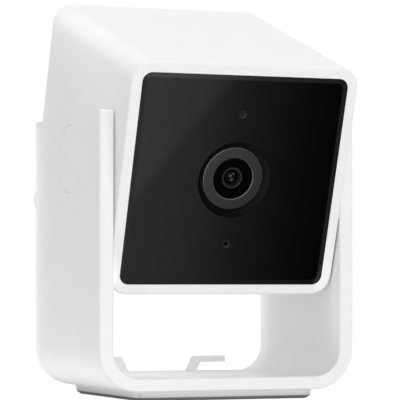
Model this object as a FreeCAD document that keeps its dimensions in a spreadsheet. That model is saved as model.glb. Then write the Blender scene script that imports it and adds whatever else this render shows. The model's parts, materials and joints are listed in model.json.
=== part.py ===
import FreeCAD, Part
import Sketcher
import math
import os

# Tilting pet camera, in millimetres.
# A rounded square camera head hangs on two pivots between the arms of a U-shaped stand.
# The frame: X to the right of someone facing the camera, Y from the front to the back, Z up,
# with the origin at the middle of the rubber pad's underside.
# Pieces of the head are drawn in the head's own frame, which is level, has its origin on the
# pivots' Y and at half the head's height, and is then tilted about the pivots.

V = FreeCAD.Vector
doc = FreeCAD.newDocument("PetCamera")
sheet = doc.addObject("Spreadsheet::Sheet", "Sizes")

SIZES = (
    # Stand
    ("stand_width", 60.0, "across the outer faces of the arms"),
    ("stand_depth", 45.0, "front edge to back edge of the stand"),
    ("stand_rise", 60.8, "underside of the stand's floor to the top of its arms"),
    ("arm_thickness", 3.2, "wall of each arm"),
    ("floor_thickness", 2.85, "wall of the stand's floor"),
    ("bend_radius", 6.0, "inner radius between floor and arms"),
    ("edge_break", 0.25, "bevel along the stand's front and back outlines"),
    # Cable cleat on the floor's back edge
    ("cleat_gap", 14.9, "between the two legs at the floor"),
    ("cleat_lean", 1.6, "how far each leg leans outwards by its top"),
    ("cleat_leg", 2.3, "width of each leg"),
    ("cleat_horn", 8.0, "length of each horn from its leg's inner corner"),
    ("cleat_bar", 1.5, "height of each horn"),
    ("cleat_rise", 3.45, "floor to the top of the horns"),
    ("cleat_thickness", 1.6, "front to back"),
    ("cleat_round", 0.8, "radius where each leg turns into its horn"),
    # Base
    ("plate_side", 42.5, "side of the square metal plate at its top"),
    ("plate_thickness", 1.3, "height of the metal plate"),
    ("plate_taper", 0.3, "how far its sides slope inwards by its underside"),
    ("plate_corner", 2.5, "corner radius of plate and pad"),
    ("plate_edge", 0.15, "upright edge above their slopes"),
    ("pad_thickness", 0.75, "height of the rubber pad"),
    ("pad_taper", 0.9, "how far the pad's sides slope inwards"),
    ("base_screw_spacing", 28.0, "between the base screws, both ways"),
    ("base_screw_radius", 0.8, "shank of a base screw"),
    ("base_screw_head", 1.6, "radius of its countersunk head"),
    ("base_screw_head_height", 0.8, "depth of that head"),
    ("base_screw_length", 3.2, "whole length of a base screw"),
    # Pivots
    ("pivot_height", 51.2, "above the underside of the stand's floor"),
    ("pivot_forward", 2.1, "ahead of the stand's middle"),
    ("side_gap", 0.35, "between the head and each arm"),
    ("cap_radius", 7.6, "round cap let into the arm's outer face"),
    ("cap_thickness", 1.0, "depth of the cap"),
    ("cap_gap", 0.05, "around the cap"),
    ("cap_bevel", 0.1, "bevel around the cap's face"),
    ("pocket_depth", 1.0, "room for washer and screw head under the cap"),
    ("hub_radius", 4.0, "barrel that turns in the arm"),
    ("hub_flange", 12.0, "side of the hub's square flange"),
    ("hub_flange_thickness", 1.4, "thickness of that flange"),
    ("bearing_gap", 0.06, "between the hub and its hole in the arm"),
    ("hub_end_play", 0.05, "how far the hub stands out of its hole"),
    ("retainer_radius", 5.0, "washer that holds the hub in the arm"),
    ("retainer_thickness", 0.35, "thickness of that washer"),
    ("pivot_screw_radius", 1.0, "shank of a pivot screw"),
    ("pivot_screw_head", 2.1, "radius of its flat head"),
    ("pivot_screw_head_height", 0.5, "height of that head"),
    ("pivot_screw_length", 4.6, "length under the head"),
    ("friction_washer_radius", 7.0, "thin washer between head and arm"),
    ("friction_washer_thickness", 0.3, "thickness of that washer"),
    ("friction_washer_gap", 0.12, "between that washer and the hub"),
    # Head shell
    ("head_height", 52.3, "height of the level head"),
    ("head_depth", 58.9, "front rim to back"),
    ("head_front", 24.03, "from the pivots to the front rim"),
    ("pivot_drop", 2.31, "pivots below the head's middle"),
    ("head_tilt", 18.75, "degrees that the head looks down at rest"),
    ("head_corner", 4.6, "radius of the four long edges"),
    ("rear_radius", 3.5, "radius around the back"),
    ("rim_round", 0.5, "radius around the front rim"),
    ("wall", 2.4, "wall of the shell, and width of its front rim"),
    ("lip_thickness", 2.4, "inward lip at the back"),
    ("lip_width", 1.8, "how far that lip reaches in"),
    ("opening_corner", 6.0, "corner radius of the rear opening"),
    ("boss_radius", 2.6, "screw bosses in the shell's corners"),
    ("boss_root", 0.3, "how far those bosses run into the walls"),
    ("boss_length", 8.0, "length of those bosses"),
    ("key_rib", 1.2, "ribs above and below the hub's flange"),
    ("fit_gap", 0.1, "around pieces that drop into the shell"),
    ("thread_gap", 0.05, "around threads and pressed shanks"),
    # Front glass and what carries it
    ("glass_recess", 0.05, "glass below the rim"),
    ("glass_thickness", 0.9, "thickness of the glass"),
    ("glass_bevel", 1.0, "width of the shallow bevel around the glass's front"),
    ("glass_bevel_drop", 0.13, "how far that bevel falls by the glass's edge"),
    ("tape_thickness", 0.3, "adhesive frame behind the glass"),
    ("tape_width", 1.5, "width of that frame"),
    ("tape_inset", 0.25, "that frame from the glass's edges"),
    ("chassis_thickness", 1.6, "plate that carries glass, lens and boards"),
    ("post_length", 12.5, "chassis to main board"),
    ("post_radius", 2.2, "posts on the chassis"),
    ("post_inset", 3.5, "posts from the main board's edges"),
    # Lens
    ("lens_rise", 0.3, "lens axis above the head's middle"),
    ("bezel_radius", 8.4, "black funnel around the lens"),
    ("bezel_mouth", 8.15, "radius of the funnel's mouth"),
    ("barrel_head", 7.1, "radius of the lens barrel's front"),
    ("barrel_head_length", 3.0, "length of that part"),
    ("barrel_thread", 6.0, "radius of the barrel's threaded part"),
    ("barrel_thread_length", 8.0, "length of that part"),
    ("ring_depth", 0.9, "grey ring below the glass's front"),
    ("ring_bore", 4.6, "hole of the grey ring"),
    ("ring_thickness", 0.8, "thickness of the grey ring"),
    ("ring_bevel", 0.15, "bevel on its two front edges"),
    ("collar_radius", 2.3, "small ring around the front element"),
    ("collar_wall", 0.22, "width of that ring's front edge"),
    ("collar_rise", 0.25, "how far that ring stands up"),
    ("front_lens_radius", 1.55, "front element"),
    ("front_lens_length", 1.6, "length of the front element"),
    ("front_lens_curve", 2.4, "radius of its domed face"),
    ("front_lens_depth", 0.5, "top of the dome below the small ring's edge"),
    ("lens_bore", 1.5, "light path through the barrel"),
    ("rear_lens_radius", 3.2, "rear element"),
    ("rear_lens_thickness", 1.5, "thickness of the rear element"),
    ("rear_lens_seat", 2.5, "depth of its seat"),
    # Lens holder, filter and sensor
    ("holder_width", 22.0, "lens holder, left to right"),
    ("holder_height", 15.0, "lens holder, bottom to top"),
    ("holder_length", 8.0, "board to the holder's front"),
    ("sensor_side", 8.0, "side of the image sensor"),
    ("sensor_thickness", 0.9, "height of the image sensor"),
    ("sensor_room", 1.3, "hollow for the sensor in the holder"),
    ("web_thickness", 0.4, "wall between sensor and filter"),
    ("web_window", 3.0, "radius of the window in that wall"),
    ("filter_width", 12.4, "sliding filter frame, left to right"),
    ("filter_height", 6.4, "sliding filter frame, bottom to top"),
    ("filter_thickness", 0.5, "thickness of the filter"),
    ("filter_gap", 0.1, "around the filter in its slot"),
    ("filter_travel", 6.0, "day window to night window"),
    ("holder_screw_x", 9.0, "holder screws to each side"),
    ("holder_screw_z", 5.7, "holder screws above and below"),
    ("holder_screw_length", 4.0, "length of a holder screw under its head"),
    # Boards and what they carry
    ("board_room", 3.05, "main board from the shell's inner walls"),
    ("board_thickness", 1.2, "thickness of the main board"),
    ("processor_side", 11.0, "side of the processor"),
    ("processor_thickness", 1.2, "height of the processor"),
    ("thermal_pad_thickness", 0.8, "soft pad on the processor"),
    ("heat_sink_side", 20.0, "side of the heat sink"),
    ("heat_sink_base", 1.2, "floor of the heat sink"),
    ("fin_height", 3.0, "height of its fins"),
    ("fin_thickness", 0.9, "thickness of its fins"),
    ("fin_count", 6, "number of its fins"),
    ("led_board_margin", 2.6, "light board beyond the middles of lamps and dots"),
    ("led_board_thickness", 0.8, "thickness of the light board"),
    ("led_x", 10.4, "infrared lamps to each side"),
    ("led_z", 8.2, "infrared lamps above and below the lens"),
    ("led_width", 2.8, "infrared lamp, left to right"),
    ("led_height", 3.5, "infrared lamp, bottom to top"),
    ("led_thickness", 0.8, "height of an infrared lamp"),
    ("led_room", 0.4, "around each lamp in its window"),
    ("dot_spacing", 14.7, "small holes in the glass from the lens axis"),
    ("dot_radius", 0.5, "radius of those holes"),
    ("dot_bevel", 0.3, "bevel around them"),
    ("pipe_radius", 0.45, "light pipe in the upper hole"),
    ("pipe_recess", 0.5, "its tip below the glass's front"),
    ("pipe_flange", 1.3, "radius of its flange"),
    ("status_led_side", 1.6, "side of the status lamp"),
    ("status_led_thickness", 0.6, "height of the status lamp"),
    ("mic_width", 3.5, "microphone, left to right"),
    ("mic_height", 2.65, "microphone, bottom to top"),
    ("mic_thickness", 1.0, "height of the microphone"),
    ("mic_gasket_radius", 1.6, "rubber tube to the lower hole"),
    ("mic_gasket_bore", 0.6, "bore of that tube"),
    ("light_sensor_side", 2.0, "side of the light sensor"),
    ("light_sensor_thickness", 0.7, "height of the light sensor"),
    ("antenna_width", 30.0, "aerial, left to right"),
    ("antenna_length", 9.0, "aerial, front to back"),
    ("antenna_thickness", 0.3, "thickness of the aerial"),
    # Small screws inside the head
    ("screw_radius", 0.7, "shank of the small screws"),
    ("screw_head", 1.5, "radius of their heads"),
    ("screw_head_height", 0.7, "height of their heads"),
    ("chassis_screw_length", 6.0, "chassis screw under its head"),
    ("board_screw_length", 5.0, "board screw under its head"),
    ("cover_screw_length", 3.0, "rear cover screw under its head"),
    # Rear cover
    ("flange_thickness", 1.4, "cover's flange behind the lip"),
    ("panel_recess", 0.4, "cover's face below the shell's back"),
    ("panel_gap", 0.12, "around the cover's face"),
    ("panel_bevel", 0.25, "bevel around the cover's face"),
    ("cover_screw_inset", 2.65, "cover screws from the shell's inner walls"),
    ("speaker_rise", 8.0, "speaker above the head's middle"),
    ("speaker_radius", 10.0, "radius of the speaker"),
    ("speaker_length", 4.5, "depth of the speaker"),
    ("speaker_magnet", 6.0, "radius of its magnet"),
    ("speaker_rim", 1.5, "length of its front rim"),
    ("speaker_gasket", 0.5, "thickness of its foam ring"),
    ("speaker_gasket_width", 1.6, "width of its foam ring"),
    ("speaker_wall", 1.2, "wall around the speaker"),
    ("speaker_gap", 0.2, "between speaker and wall"),
    ("grille_pitch", 2.5, "between the rings of holes"),
    ("grille_hole", 0.6, "radius of a grille hole"),
    # Connector board at the back
    ("io_rise", -12.0, "top of the connector board, from the head's middle"),
    ("io_width", 26.0, "connector board, left to right"),
    ("io_length", 15.5, "connector board, front to back"),
    ("io_thickness", 1.0, "thickness of the connector board"),
    ("rail_width", 3.4, "rails under the connector board"),
    ("rail_height", 3.0, "height of those rails"),
    ("rail_inset", 1.0, "rails from the board's edges"),
    ("usb_width", 8.94, "power socket, left to right"),
    ("usb_height", 3.26, "power socket, bottom to top"),
    ("usb_length", 7.35, "power socket, front to back"),
    ("usb_wall", 0.3, "sheet metal of the socket"),
    ("usb_end", 0.9, "its closed end"),
    ("usb_tongue_width", 6.6, "tongue inside the socket, left to right"),
    ("usb_tongue_height", 0.7, "thickness of that tongue"),
    ("usb_tongue_inset", 0.6, "tongue's tip below the socket's mouth"),
    ("usb_inset", 0.9, "socket's mouth below the cover's face"),
    ("usb_gap", 0.15, "around the socket in the cover"),
    ("plug_recess_width", 12.6, "recess for the plug, left to right"),
    ("plug_recess_height", 6.8, "recess for the plug, bottom to top"),
    ("plug_recess_depth", 0.7, "depth of that recess"),
    ("button_x", 9.4, "reset button to the right of the socket"),
    ("button_radius", 1.5, "radius of the reset button"),
    ("button_gap", 0.1, "around the reset button"),
    ("button_flange", 2.1, "radius of its flange"),
    ("button_flange_thickness", 0.7, "thickness of its flange"),
    ("button_travel", 0.4, "how far it presses in"),
    ("switch_width", 4.4, "switch, left to right"),
    ("switch_height", 3.0, "switch, bottom to top"),
    ("switch_length", 2.6, "switch, front to back"),
    ("io_screw_setback", 11.5, "connector board screws ahead of the cover"),
    ("io_screw_length", 3.0, "connector board screw under its head"),
    # Ribbon between the two boards
    ("ribbon_width", 10.0, "width of the ribbon"),
    ("ribbon_thickness", 0.3, "thickness of the ribbon"),
    ("ribbon_straight", 4.5, "its level stretch at each end"),
    ("ribbon_drop", 15.5, "where it leaves the main board, below the middle"),
    ("connector_width", 12.0, "ribbon connectors, left to right"),
    ("connector_height", 3.0, "ribbon connectors, along the boards"),
    ("connector_thickness", 2.0, "height of the ribbon connectors"),
)
for row, (alias, size, note) in enumerate(SIZES, start=1):
    sheet.set(f"A{row}", note)
    sheet.set(f"B{row}", str(size))
    sheet.setAlias(f"B{row}", alias)
doc.recompute()

# Places worked out from the sizes, as expressions that every sketch and feature can share.
BASE = "(Sizes.pad_thickness + Sizes.plate_thickness)"
FLOOR = f"({BASE} + Sizes.floor_thickness)"
ARM_IN = "(Sizes.stand_width / 2 - Sizes.arm_thickness)"
ARM_OUT = "(Sizes.stand_width / 2)"
PIVOT_Y = "(-Sizes.pivot_forward)"
PIVOT_Z = f"({BASE} + Sizes.pivot_height)"
CAP_IN = f"({ARM_OUT} - Sizes.cap_thickness)"
SEAT = f"({CAP_IN} - Sizes.pocket_depth)"
HUB_END = f"({SEAT} + Sizes.hub_end_play)"
RETAINER_OUT = f"({HUB_END} + Sizes.retainer_thickness)"

HALF_W = f"({ARM_IN} - Sizes.side_gap)"
HALF_H = "(Sizes.head_height / 2)"
IN_W = f"({HALF_W} - Sizes.wall)"
IN_H = f"({HALF_H} - Sizes.wall)"
IN_CORNER = "(Sizes.head_corner - Sizes.wall)"
FRONT = "(-Sizes.head_front)"
BACK = f"({FRONT} + Sizes.head_depth)"
LIP = f"({BACK} - Sizes.lip_thickness)"
OPEN_W = f"({IN_W} - Sizes.lip_width)"
OPEN_H = f"({IN_H} - Sizes.lip_width)"
BOSS_X = f"({IN_W} - Sizes.boss_radius)"
BOSS_Z = f"({IN_H} - Sizes.boss_radius)"
HUB_IN = f"({IN_W} - Sizes.hub_flange_thickness)"

GLASS_F = f"({FRONT} + Sizes.glass_recess)"
GLASS_B = f"({GLASS_F} + Sizes.glass_thickness)"
CHASSIS_F = f"({GLASS_B} + Sizes.tape_thickness)"
CHASSIS_B = f"({CHASSIS_F} + Sizes.chassis_thickness)"
BOARD_F = f"({CHASSIS_B} + Sizes.post_length)"
BOARD_B = f"({BOARD_F} + Sizes.board_thickness)"
BOARD_W = f"({IN_W} - Sizes.board_room)"
BOARD_H = f"({IN_H} - Sizes.board_room)"
POST = (f"({BOARD_W} - Sizes.post_inset)", f"({BOARD_H} - Sizes.post_inset)")
DROP_W = f"({IN_W} - Sizes.fit_gap)"
DROP_H = f"({IN_H} - Sizes.fit_gap)"
DROP_CORNER = f"({IN_CORNER} - Sizes.fit_gap)"

RING_F = f"({GLASS_F} + Sizes.ring_depth)"
RING_B = f"({RING_F} + Sizes.ring_thickness)"
HEAD_B = f"({RING_B} + Sizes.barrel_head_length)"
BARREL_B = f"({HEAD_B} + Sizes.barrel_thread_length)"
SENSOR_F = f"({BOARD_F} - Sizes.sensor_thickness)"
ROOM_F = f"({BOARD_F} - Sizes.sensor_room)"
SLOT_B = f"({ROOM_F} - Sizes.web_thickness)"
SLOT_F = f"({SLOT_B} - Sizes.filter_thickness - 2 * Sizes.filter_gap)"
HOLDER_F = f"({BOARD_F} - Sizes.holder_length)"
LAMP_F = f"({CHASSIS_B} - Sizes.led_thickness)"
UPPER_DOT = "(Sizes.lens_rise + Sizes.dot_spacing)"
LOWER_DOT = "(Sizes.lens_rise - Sizes.dot_spacing)"

LENS = "Sizes.lens_rise"
TAPE_W = f"({DROP_W} - Sizes.tape_inset)"
TAPE_H = f"({DROP_H} - Sizes.tape_inset)"
STATUS_F = f"({CHASSIS_B} - Sizes.status_led_thickness)"
MIC_F = f"({CHASSIS_B} - Sizes.mic_thickness)"
LIGHT_SENSOR = ("Sizes.led_x / 2", UPPER_DOT)
COLLAR_F = f"({RING_B} - Sizes.collar_rise)"
FRONT_LENS_F = f"({COLLAR_F} + Sizes.front_lens_depth)"
DOME_DROP = "(Sizes.front_lens_curve - sqrt(Sizes.front_lens_curve^2 - Sizes.front_lens_radius^2))"
SINK_F = f"({BOARD_B} + Sizes.processor_thickness + Sizes.thermal_pad_thickness)"

COVER_PILOT = "Sizes.cover_screw_length - Sizes.flange_thickness + Sizes.fit_gap"
COVER_F = f"({LIP} - Sizes.flange_thickness)"
COVER_B = f"({BACK} - Sizes.panel_recess)"
SPEAKER_B = f"({COVER_F} - Sizes.speaker_gasket)"
SPEAKER_F = f"({SPEAKER_B} - Sizes.speaker_length)"
USB_B = f"({COVER_B} - Sizes.usb_inset)"
USB_HALF_W = "(Sizes.usb_width / 2)"
USB_HALF_H = "(Sizes.usb_height / 2)"
USB_Z = f"(Sizes.io_rise + {USB_HALF_H})"
PLUG_HALF_W = "(Sizes.plug_recess_width / 2)"
PLUG_HALF_H = "(Sizes.plug_recess_height / 2)"
IO_UNDER = "(Sizes.io_rise - Sizes.io_thickness)"
BUTTON_Z = "(Sizes.io_rise + Sizes.switch_height / 2)"
BUTTON_F = f"({COVER_F} - Sizes.button_gap - Sizes.button_flange_thickness)"
SWITCH_B = f"({BUTTON_F} - Sizes.button_travel - Sizes.button_gap)"
IO_B = SWITCH_B
IO_F = f"({IO_B} - Sizes.io_length)"
RAIL_X = "(Sizes.io_width / 2 - Sizes.rail_inset - Sizes.rail_width / 2)"
IO_SCREW_Y = f"({COVER_F} - Sizes.io_screw_setback)"

HOLDER_SCREW = ("Sizes.holder_screw_x", "Sizes.holder_screw_z")
COVER_SCREW = (f"({IN_W} - Sizes.cover_screw_inset)", f"({IN_H} - Sizes.cover_screw_inset)")

pieces = []


def number(expression):
    """The value of an expression over the sheet."""
    return float(sheet.evalExpression(expression))


def head_place(rise="0"):
    """Placement of the head's frame, moved up by a rise and tilted about the pivots."""
    up = f"({rise} + Sizes.pivot_drop)"
    tilt = "(Sizes.head_tilt * 1deg)"
    return (
        f"placement(vector(0; {PIVOT_Y} - {up} * sin{tilt}; {PIVOT_Z} + {up} * cos{tilt});"
        f" rotation(vector(1; 0; 0); Sizes.head_tilt))"
    )


def new_body(label, place=None, several=False):
    """A sub-part: one PartDesign body with its own label and placement."""
    item = doc.addObject("PartDesign::Body", label)
    item.Label = label
    item.AllowCompound = several
    if place:
        item.setExpression("Placement", place)
    pieces.append(item)
    return item


def origin_feature(item, role):
    return next(f for f in item.Origin.OriginFeatures if f.Role == role)


def new_sketch(item, name, plane, level, centre=("0", "0")):
    """A sketch parallel to one of the body's planes, at a level along the axis across it."""
    drawing = item.newObject("Sketcher::SketchObject", name)
    drawing.AttachmentSupport = [(origin_feature(item, plane), "")]
    drawing.MapMode = "FlatFace"
    sign = "-" if plane == "XZ_Plane" else ""
    drawing.setExpression("AttachmentOffset.Base.x", centre[0])
    drawing.setExpression("AttachmentOffset.Base.y", centre[1])
    drawing.setExpression("AttachmentOffset.Base.z", f"{sign}({level})")
    return drawing


def tie(drawing, kind, *where):
    """Add a dimension whose last entry is the expression that drives it."""
    *places, expression = where
    index = drawing.addConstraint(Sketcher.Constraint(kind, *places, number(expression)))
    drawing.setExpression(f"Constraints[{index}]", expression)


def polygon(drawing, points):
    """A closed outline with each corner tied to its two coordinates."""
    first = drawing.GeometryCount
    corners = [V(number(x), number(y), 0) for x, y in points]
    for start, end in zip(corners, corners[1:] + corners[:1]):
        drawing.addGeometry(Part.LineSegment(start, end))
    for index, (x, y) in enumerate(points):
        following = first + (index + 1) % len(points)
        drawing.addConstraint(Sketcher.Constraint("Coincident", first + index, 2, following, 1))
        tie(drawing, "DistanceX", -1, 1, first + index, 1, x)
        tie(drawing, "DistanceY", -1, 1, first + index, 1, y)


def rectangle(drawing, half_x, half_y, centre=("0", "0")):
    left, right = f"{centre[0]} - {half_x}", f"{centre[0]} + {half_x}"
    low, high = f"{centre[1]} - {half_y}", f"{centre[1]} + {half_y}"
    polygon(drawing, [(left, low), (right, low), (right, high), (left, high)])


def circle(drawing, radius, centre=("0", "0")):
    x, y = centre
    shape = Part.Circle(V(number(x), number(y), 0), V(0, 0, 1), number(radius))
    index = drawing.addGeometry(shape)
    tie(drawing, "Radius", index, radius)
    tie(drawing, "DistanceX", -1, 1, index, 3, x)
    tie(drawing, "DistanceY", -1, 1, index, 3, y)


def slot(drawing, half_x, half_y, centre):
    """A level outline with half-round ends, tied to its half width and half height."""
    x, y = centre
    reach = f"({half_x} - {half_y})"
    places = [(f"{x} + {reach}", y), (f"{x} - {reach}", y)]
    radius = number(half_y)
    ends = []
    for (end_x, end_y), start in zip(places, (-math.pi / 2, math.pi / 2)):
        whole = Part.Circle(V(number(end_x), number(end_y), 0), V(0, 0, 1), radius)
        ends.append(drawing.addGeometry(Part.ArcOfCircle(whole, start, start + math.pi)))
        tie(drawing, "Radius", ends[-1], half_y)
        tie(drawing, "DistanceX", -1, 1, ends[-1], 3, end_x)
        tie(drawing, "DistanceY", -1, 1, ends[-1], 3, end_y)
    right, left = ends
    for near, far, side in ((right, left, radius), (left, right, -radius)):
        start = V(drawing.Geometry[near].Center.x, number(y) + side, 0)
        end = V(drawing.Geometry[far].Center.x, number(y) + side, 0)
        line = drawing.addGeometry(Part.LineSegment(start, end))
        drawing.addConstraint(Sketcher.Constraint("Tangent", near, 2, line, 1))
        drawing.addConstraint(Sketcher.Constraint("Tangent", line, 2, far, 1))


def faces_forward(drawing):
    """Whether the sketch's normal points along its positive axis."""
    return drawing.AttachmentSupport[0][0].Role != "XZ_Plane"


def pad(item, drawing, length, forward=True):
    """Add the sketch's outline, towards the positive axis unless forward is false."""
    feature = item.newObject("PartDesign::Pad", drawing.Name + "Pad")
    feature.Profile = drawing
    feature.Reversed = forward != faces_forward(drawing)
    feature.setExpression("Length", length)
    doc.recompute()
    return feature


def cut(item, drawing, length=None, forward=True):
    """Cut the sketch's outline away, right through where no length is given."""
    before = item.Tip.Shape.Volume
    feature = item.newObject("PartDesign::Pocket", drawing.Name + "Cut")
    feature.Profile = drawing
    feature.Reversed = forward == faces_forward(drawing)
    if length:
        feature.setExpression("Length", length)
    else:
        feature.Type = "ThroughAll"
    doc.recompute()
    check_cut(item, feature, before)
    return feature


def check_cut(item, feature, before):
    if feature.Shape.Volume > before - 1e-4:
        raise RuntimeError(f"{item.Label}: {feature.Name} cuts nothing")


def turn(item, drawing, centre="0", hollow=False):
    """Revolve the outline about a line along the sketch's X, at the height given by centre."""
    start = number(centre)
    axis = drawing.addGeometry(Part.LineSegment(V(0, start, 0), V(1, start, 0)), True)
    drawing.addConstraint(Sketcher.Constraint("Horizontal", axis))
    tie(drawing, "DistanceX", axis, 1, axis, 2, "1")
    tie(drawing, "DistanceX", -1, 1, axis, 1, "0")
    tie(drawing, "DistanceY", -1, 1, axis, 1, centre)
    before = item.Tip.Shape.Volume if hollow else 0
    kind = "PartDesign::Groove" if hollow else "PartDesign::Revolution"
    feature = item.newObject(kind, drawing.Name + "Turned")
    feature.Profile = drawing
    feature.ReferenceAxis = (drawing, ["Axis0"])
    feature.Angle = 360
    doc.recompute()
    if hollow:
        check_cut(item, feature, before)
    return feature


def mirror(item, feature, roles):
    """Repeat a feature across one or two of the body's planes."""
    group = item.newObject("PartDesign::MultiTransform", feature.Name + "Set")
    group.Originals = [feature]
    steps = []
    for role in roles:
        step = item.newObject("PartDesign::Mirrored", f"{feature.Name}{role[:2]}")
        step.MirrorPlane = (origin_feature(item, role), [""])
        steps.append(step)
    group.Transformations = steps
    item.Tip = group
    doc.recompute()
    return group


FOUR_CORNERS = ("YZ_Plane", "XY_Plane")
LEFT_AND_RIGHT = ("YZ_Plane",)


def along(axis):
    """A test for straight edges parallel to an axis."""
    def test(edge):
        if edge.Curve.TypeId != "Part::GeomLine":
            return False
        return abs(abs(edge.tangentAt(edge.FirstParameter).dot(axis)) - 1) < 1e-6
    return test


def level_with(axis, *levels):
    """A test for edges that lie flat at one of some levels along an axis."""
    wanted = [number(level) for level in levels]

    def test(edge):
        heights = [vertex.Point.dot(axis) for vertex in edge.Vertexes]
        return any(all(abs(h - level) < 1e-4 for h in heights) for level in wanted)
    return test


def through(*points):
    """A test for edges along Y that pass through one of some X and Z places."""
    wanted = [(number(x), number(z)) for x, z in points]

    def test(edge):
        if not along(V(0, 1, 0))(edge):
            return False
        x, _, z = edge.Vertexes[0].Point
        return any(abs(x - a) < 1e-4 and abs(z - b) < 1e-4 for a, b in wanted)
    return test


def corners(half_x, half_z, centre=("0", "0")):
    """The four corners of a rectangle, for through()."""
    places = []
    for x_sign in ("-", "+"):
        for z_sign in ("-", "+"):
            places.append((f"{centre[0]} {x_sign} {half_x}", f"{centre[1]} {z_sign} {half_z}"))
    return places


def chosen(item, *tests):
    """Names of the edges of the body so far that pass every test."""
    edges = enumerate(item.Tip.Shape.Edges, start=1)
    names = [f"Edge{index}" for index, edge in edges if all(test(edge) for test in tests)]
    if not names:
        raise RuntimeError(f"{item.Label}: no edge to finish")
    return names


def finish_edges(item, kind, prop, size, tests):
    base = item.Tip
    names = chosen(item, *tests)
    feature = item.newObject(f"PartDesign::{kind}", f"{item.Label}_{kind}")
    feature.Base = (base, names)
    feature.setExpression(prop, size)
    doc.recompute()
    return feature


def fillet(item, radius, *tests):
    return finish_edges(item, "Fillet", "Radius", radius, tests)


def chamfer(item, size, *tests):
    return finish_edges(item, "Chamfer", "Size", size, tests)


X, Y, Z = V(1, 0, 0), V(0, 1, 0), V(0, 0, 1)


def slab(item, half_x, half_z, level, thickness, centre=("0", "0"), name="Outline"):
    """A rectangular plate across Y, from a level towards the back."""
    drawing = new_sketch(item, name, "XZ_Plane", level)
    rectangle(drawing, half_x, half_z, centre)
    return pad(item, drawing, thickness)


def disc(item, radius, level, thickness, centre=("0", "0"), bore=None, name="Outline"):
    """A round plate across Y, from a level towards the back, with a bore where one is given."""
    drawing = new_sketch(item, name, "XZ_Plane", level)
    circle(drawing, radius, centre)
    if bore:
        circle(drawing, bore, centre)
    return pad(item, drawing, thickness)


def screw(item, x, z, head_level, head, head_height, shank, length, backwards=True):
    """A flat-headed screw along Y; its shank points to the back, or to the front."""
    sign = "+" if backwards else "-"
    seat = f"({head_level} {sign} {head_height})"
    tip = f"({seat} {sign} {length})"
    drawing = new_sketch(item, "Profile", "YZ_Plane", x)
    polygon(drawing, [
        (head_level, z),
        (head_level, f"{z} + {head}"),
        (seat, f"{z} + {head}"),
        (seat, f"{z} + {shank}"),
        (tip, f"{z} + {shank}"),
        (tip, z),
    ])
    return turn(item, drawing, z)


# --- Stand -----------------------------------------------------------------------------------

def make_stand():
    """U-shaped bracket with a cable cleat behind and a seat for each pivot cap."""
    item = new_body("stand_bracket")
    half, rise = ARM_OUT, f"({BASE} + Sizes.stand_rise)"
    outline = new_sketch(item, "Profile", "XZ_Plane", "-Sizes.stand_depth / 2")
    polygon(outline, [
        (f"-{half}", BASE), (half, BASE), (half, rise), (ARM_IN, rise),
        (ARM_IN, FLOOR), (f"-{ARM_IN}", FLOOR), (f"-{ARM_IN}", rise), (f"-{half}", rise),
    ])
    pad(item, outline, "Sizes.stand_depth")
    inner = [(ARM_IN, FLOOR), (f"-{ARM_IN}", FLOOR)]
    outer = [(half, BASE), (f"-{half}", BASE)]
    fillet(item, "Sizes.bend_radius", through(*inner))
    fillet(item, "Sizes.bend_radius + Sizes.arm_thickness", through(*outer))
    ends = level_with(Y, "-Sizes.stand_depth / 2", "Sizes.stand_depth / 2")
    chamfer(item, "Sizes.edge_break", ends)
    add_cleat(item)
    add_pivot_seats(item)
    holes = new_sketch(item, "BaseScrewHoles", "XY_Plane", BASE)
    circle(holes, "Sizes.base_screw_radius + Sizes.thread_gap", base_screw_place())
    depth = "Sizes.base_screw_length - Sizes.plate_thickness + Sizes.thread_gap"
    mirror(item, cut(item, holes, depth), ("YZ_Plane", "XZ_Plane"))


def add_cleat(item):
    """Two legs that lean outwards, each with a horn to wind a cable round."""
    foot = "Sizes.cleat_gap / 2"
    root = f"({FLOOR} - Sizes.floor_thickness / 2)"
    top = f"({FLOOR} + Sizes.cleat_rise)"
    under = f"({top} - Sizes.cleat_bar)"
    lean = f"Sizes.cleat_lean * (Sizes.cleat_rise - Sizes.cleat_bar) / Sizes.cleat_rise"
    tip = f"{foot} + Sizes.cleat_lean + Sizes.cleat_horn"
    drawing = new_sketch(item, "Cleat", "XZ_Plane", "Sizes.stand_depth / 2 - Sizes.cleat_thickness")
    polygon(drawing, [
        (foot, root),
        (foot, FLOOR),
        (f"{foot} + Sizes.cleat_lean", top),
        (tip, top),
        (tip, under),
        (f"{foot} + {lean} + Sizes.cleat_leg", under),
        (f"{foot} + Sizes.cleat_leg", FLOOR),
        (f"{foot} + Sizes.cleat_leg", root),
    ])
    leg = pad(item, drawing, "Sizes.cleat_thickness - Sizes.edge_break")
    mirror(item, leg, LEFT_AND_RIGHT)
    outer = (f"{foot} + Sizes.cleat_lean", top)
    inner = (f"{foot} + {lean} + Sizes.cleat_leg", under)
    turns = [(f"{side}({x})", z) for x, z in (outer, inner) for side in ("", "-")]
    fillet(item, "Sizes.cleat_round", through(*turns))


def add_pivot_seats(item):
    """In each arm: a seat for the cap, a pocket for the washer and a bearing hole."""
    steps = (
        ("CapSeat", "Sizes.cap_radius + Sizes.cap_gap", "Sizes.cap_thickness"),
        ("Pocket", "Sizes.retainer_radius + Sizes.cap_gap", f"{ARM_OUT} - {SEAT}"),
    )
    for name, radius, depth in steps:
        drawing = new_sketch(item, name, "YZ_Plane", ARM_OUT)
        circle(drawing, radius, (PIVOT_Y, PIVOT_Z))
        mirror(item, cut(item, drawing, depth, forward=False), LEFT_AND_RIGHT)
    bearing = new_sketch(item, "Bearing", "YZ_Plane", ARM_OUT)
    circle(bearing, "Sizes.hub_radius + Sizes.bearing_gap", (PIVOT_Y, PIVOT_Z))
    cut(item, bearing, forward=False)


def base_screw_place():
    return ("Sizes.base_screw_spacing / 2", "Sizes.base_screw_spacing / 2")


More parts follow.
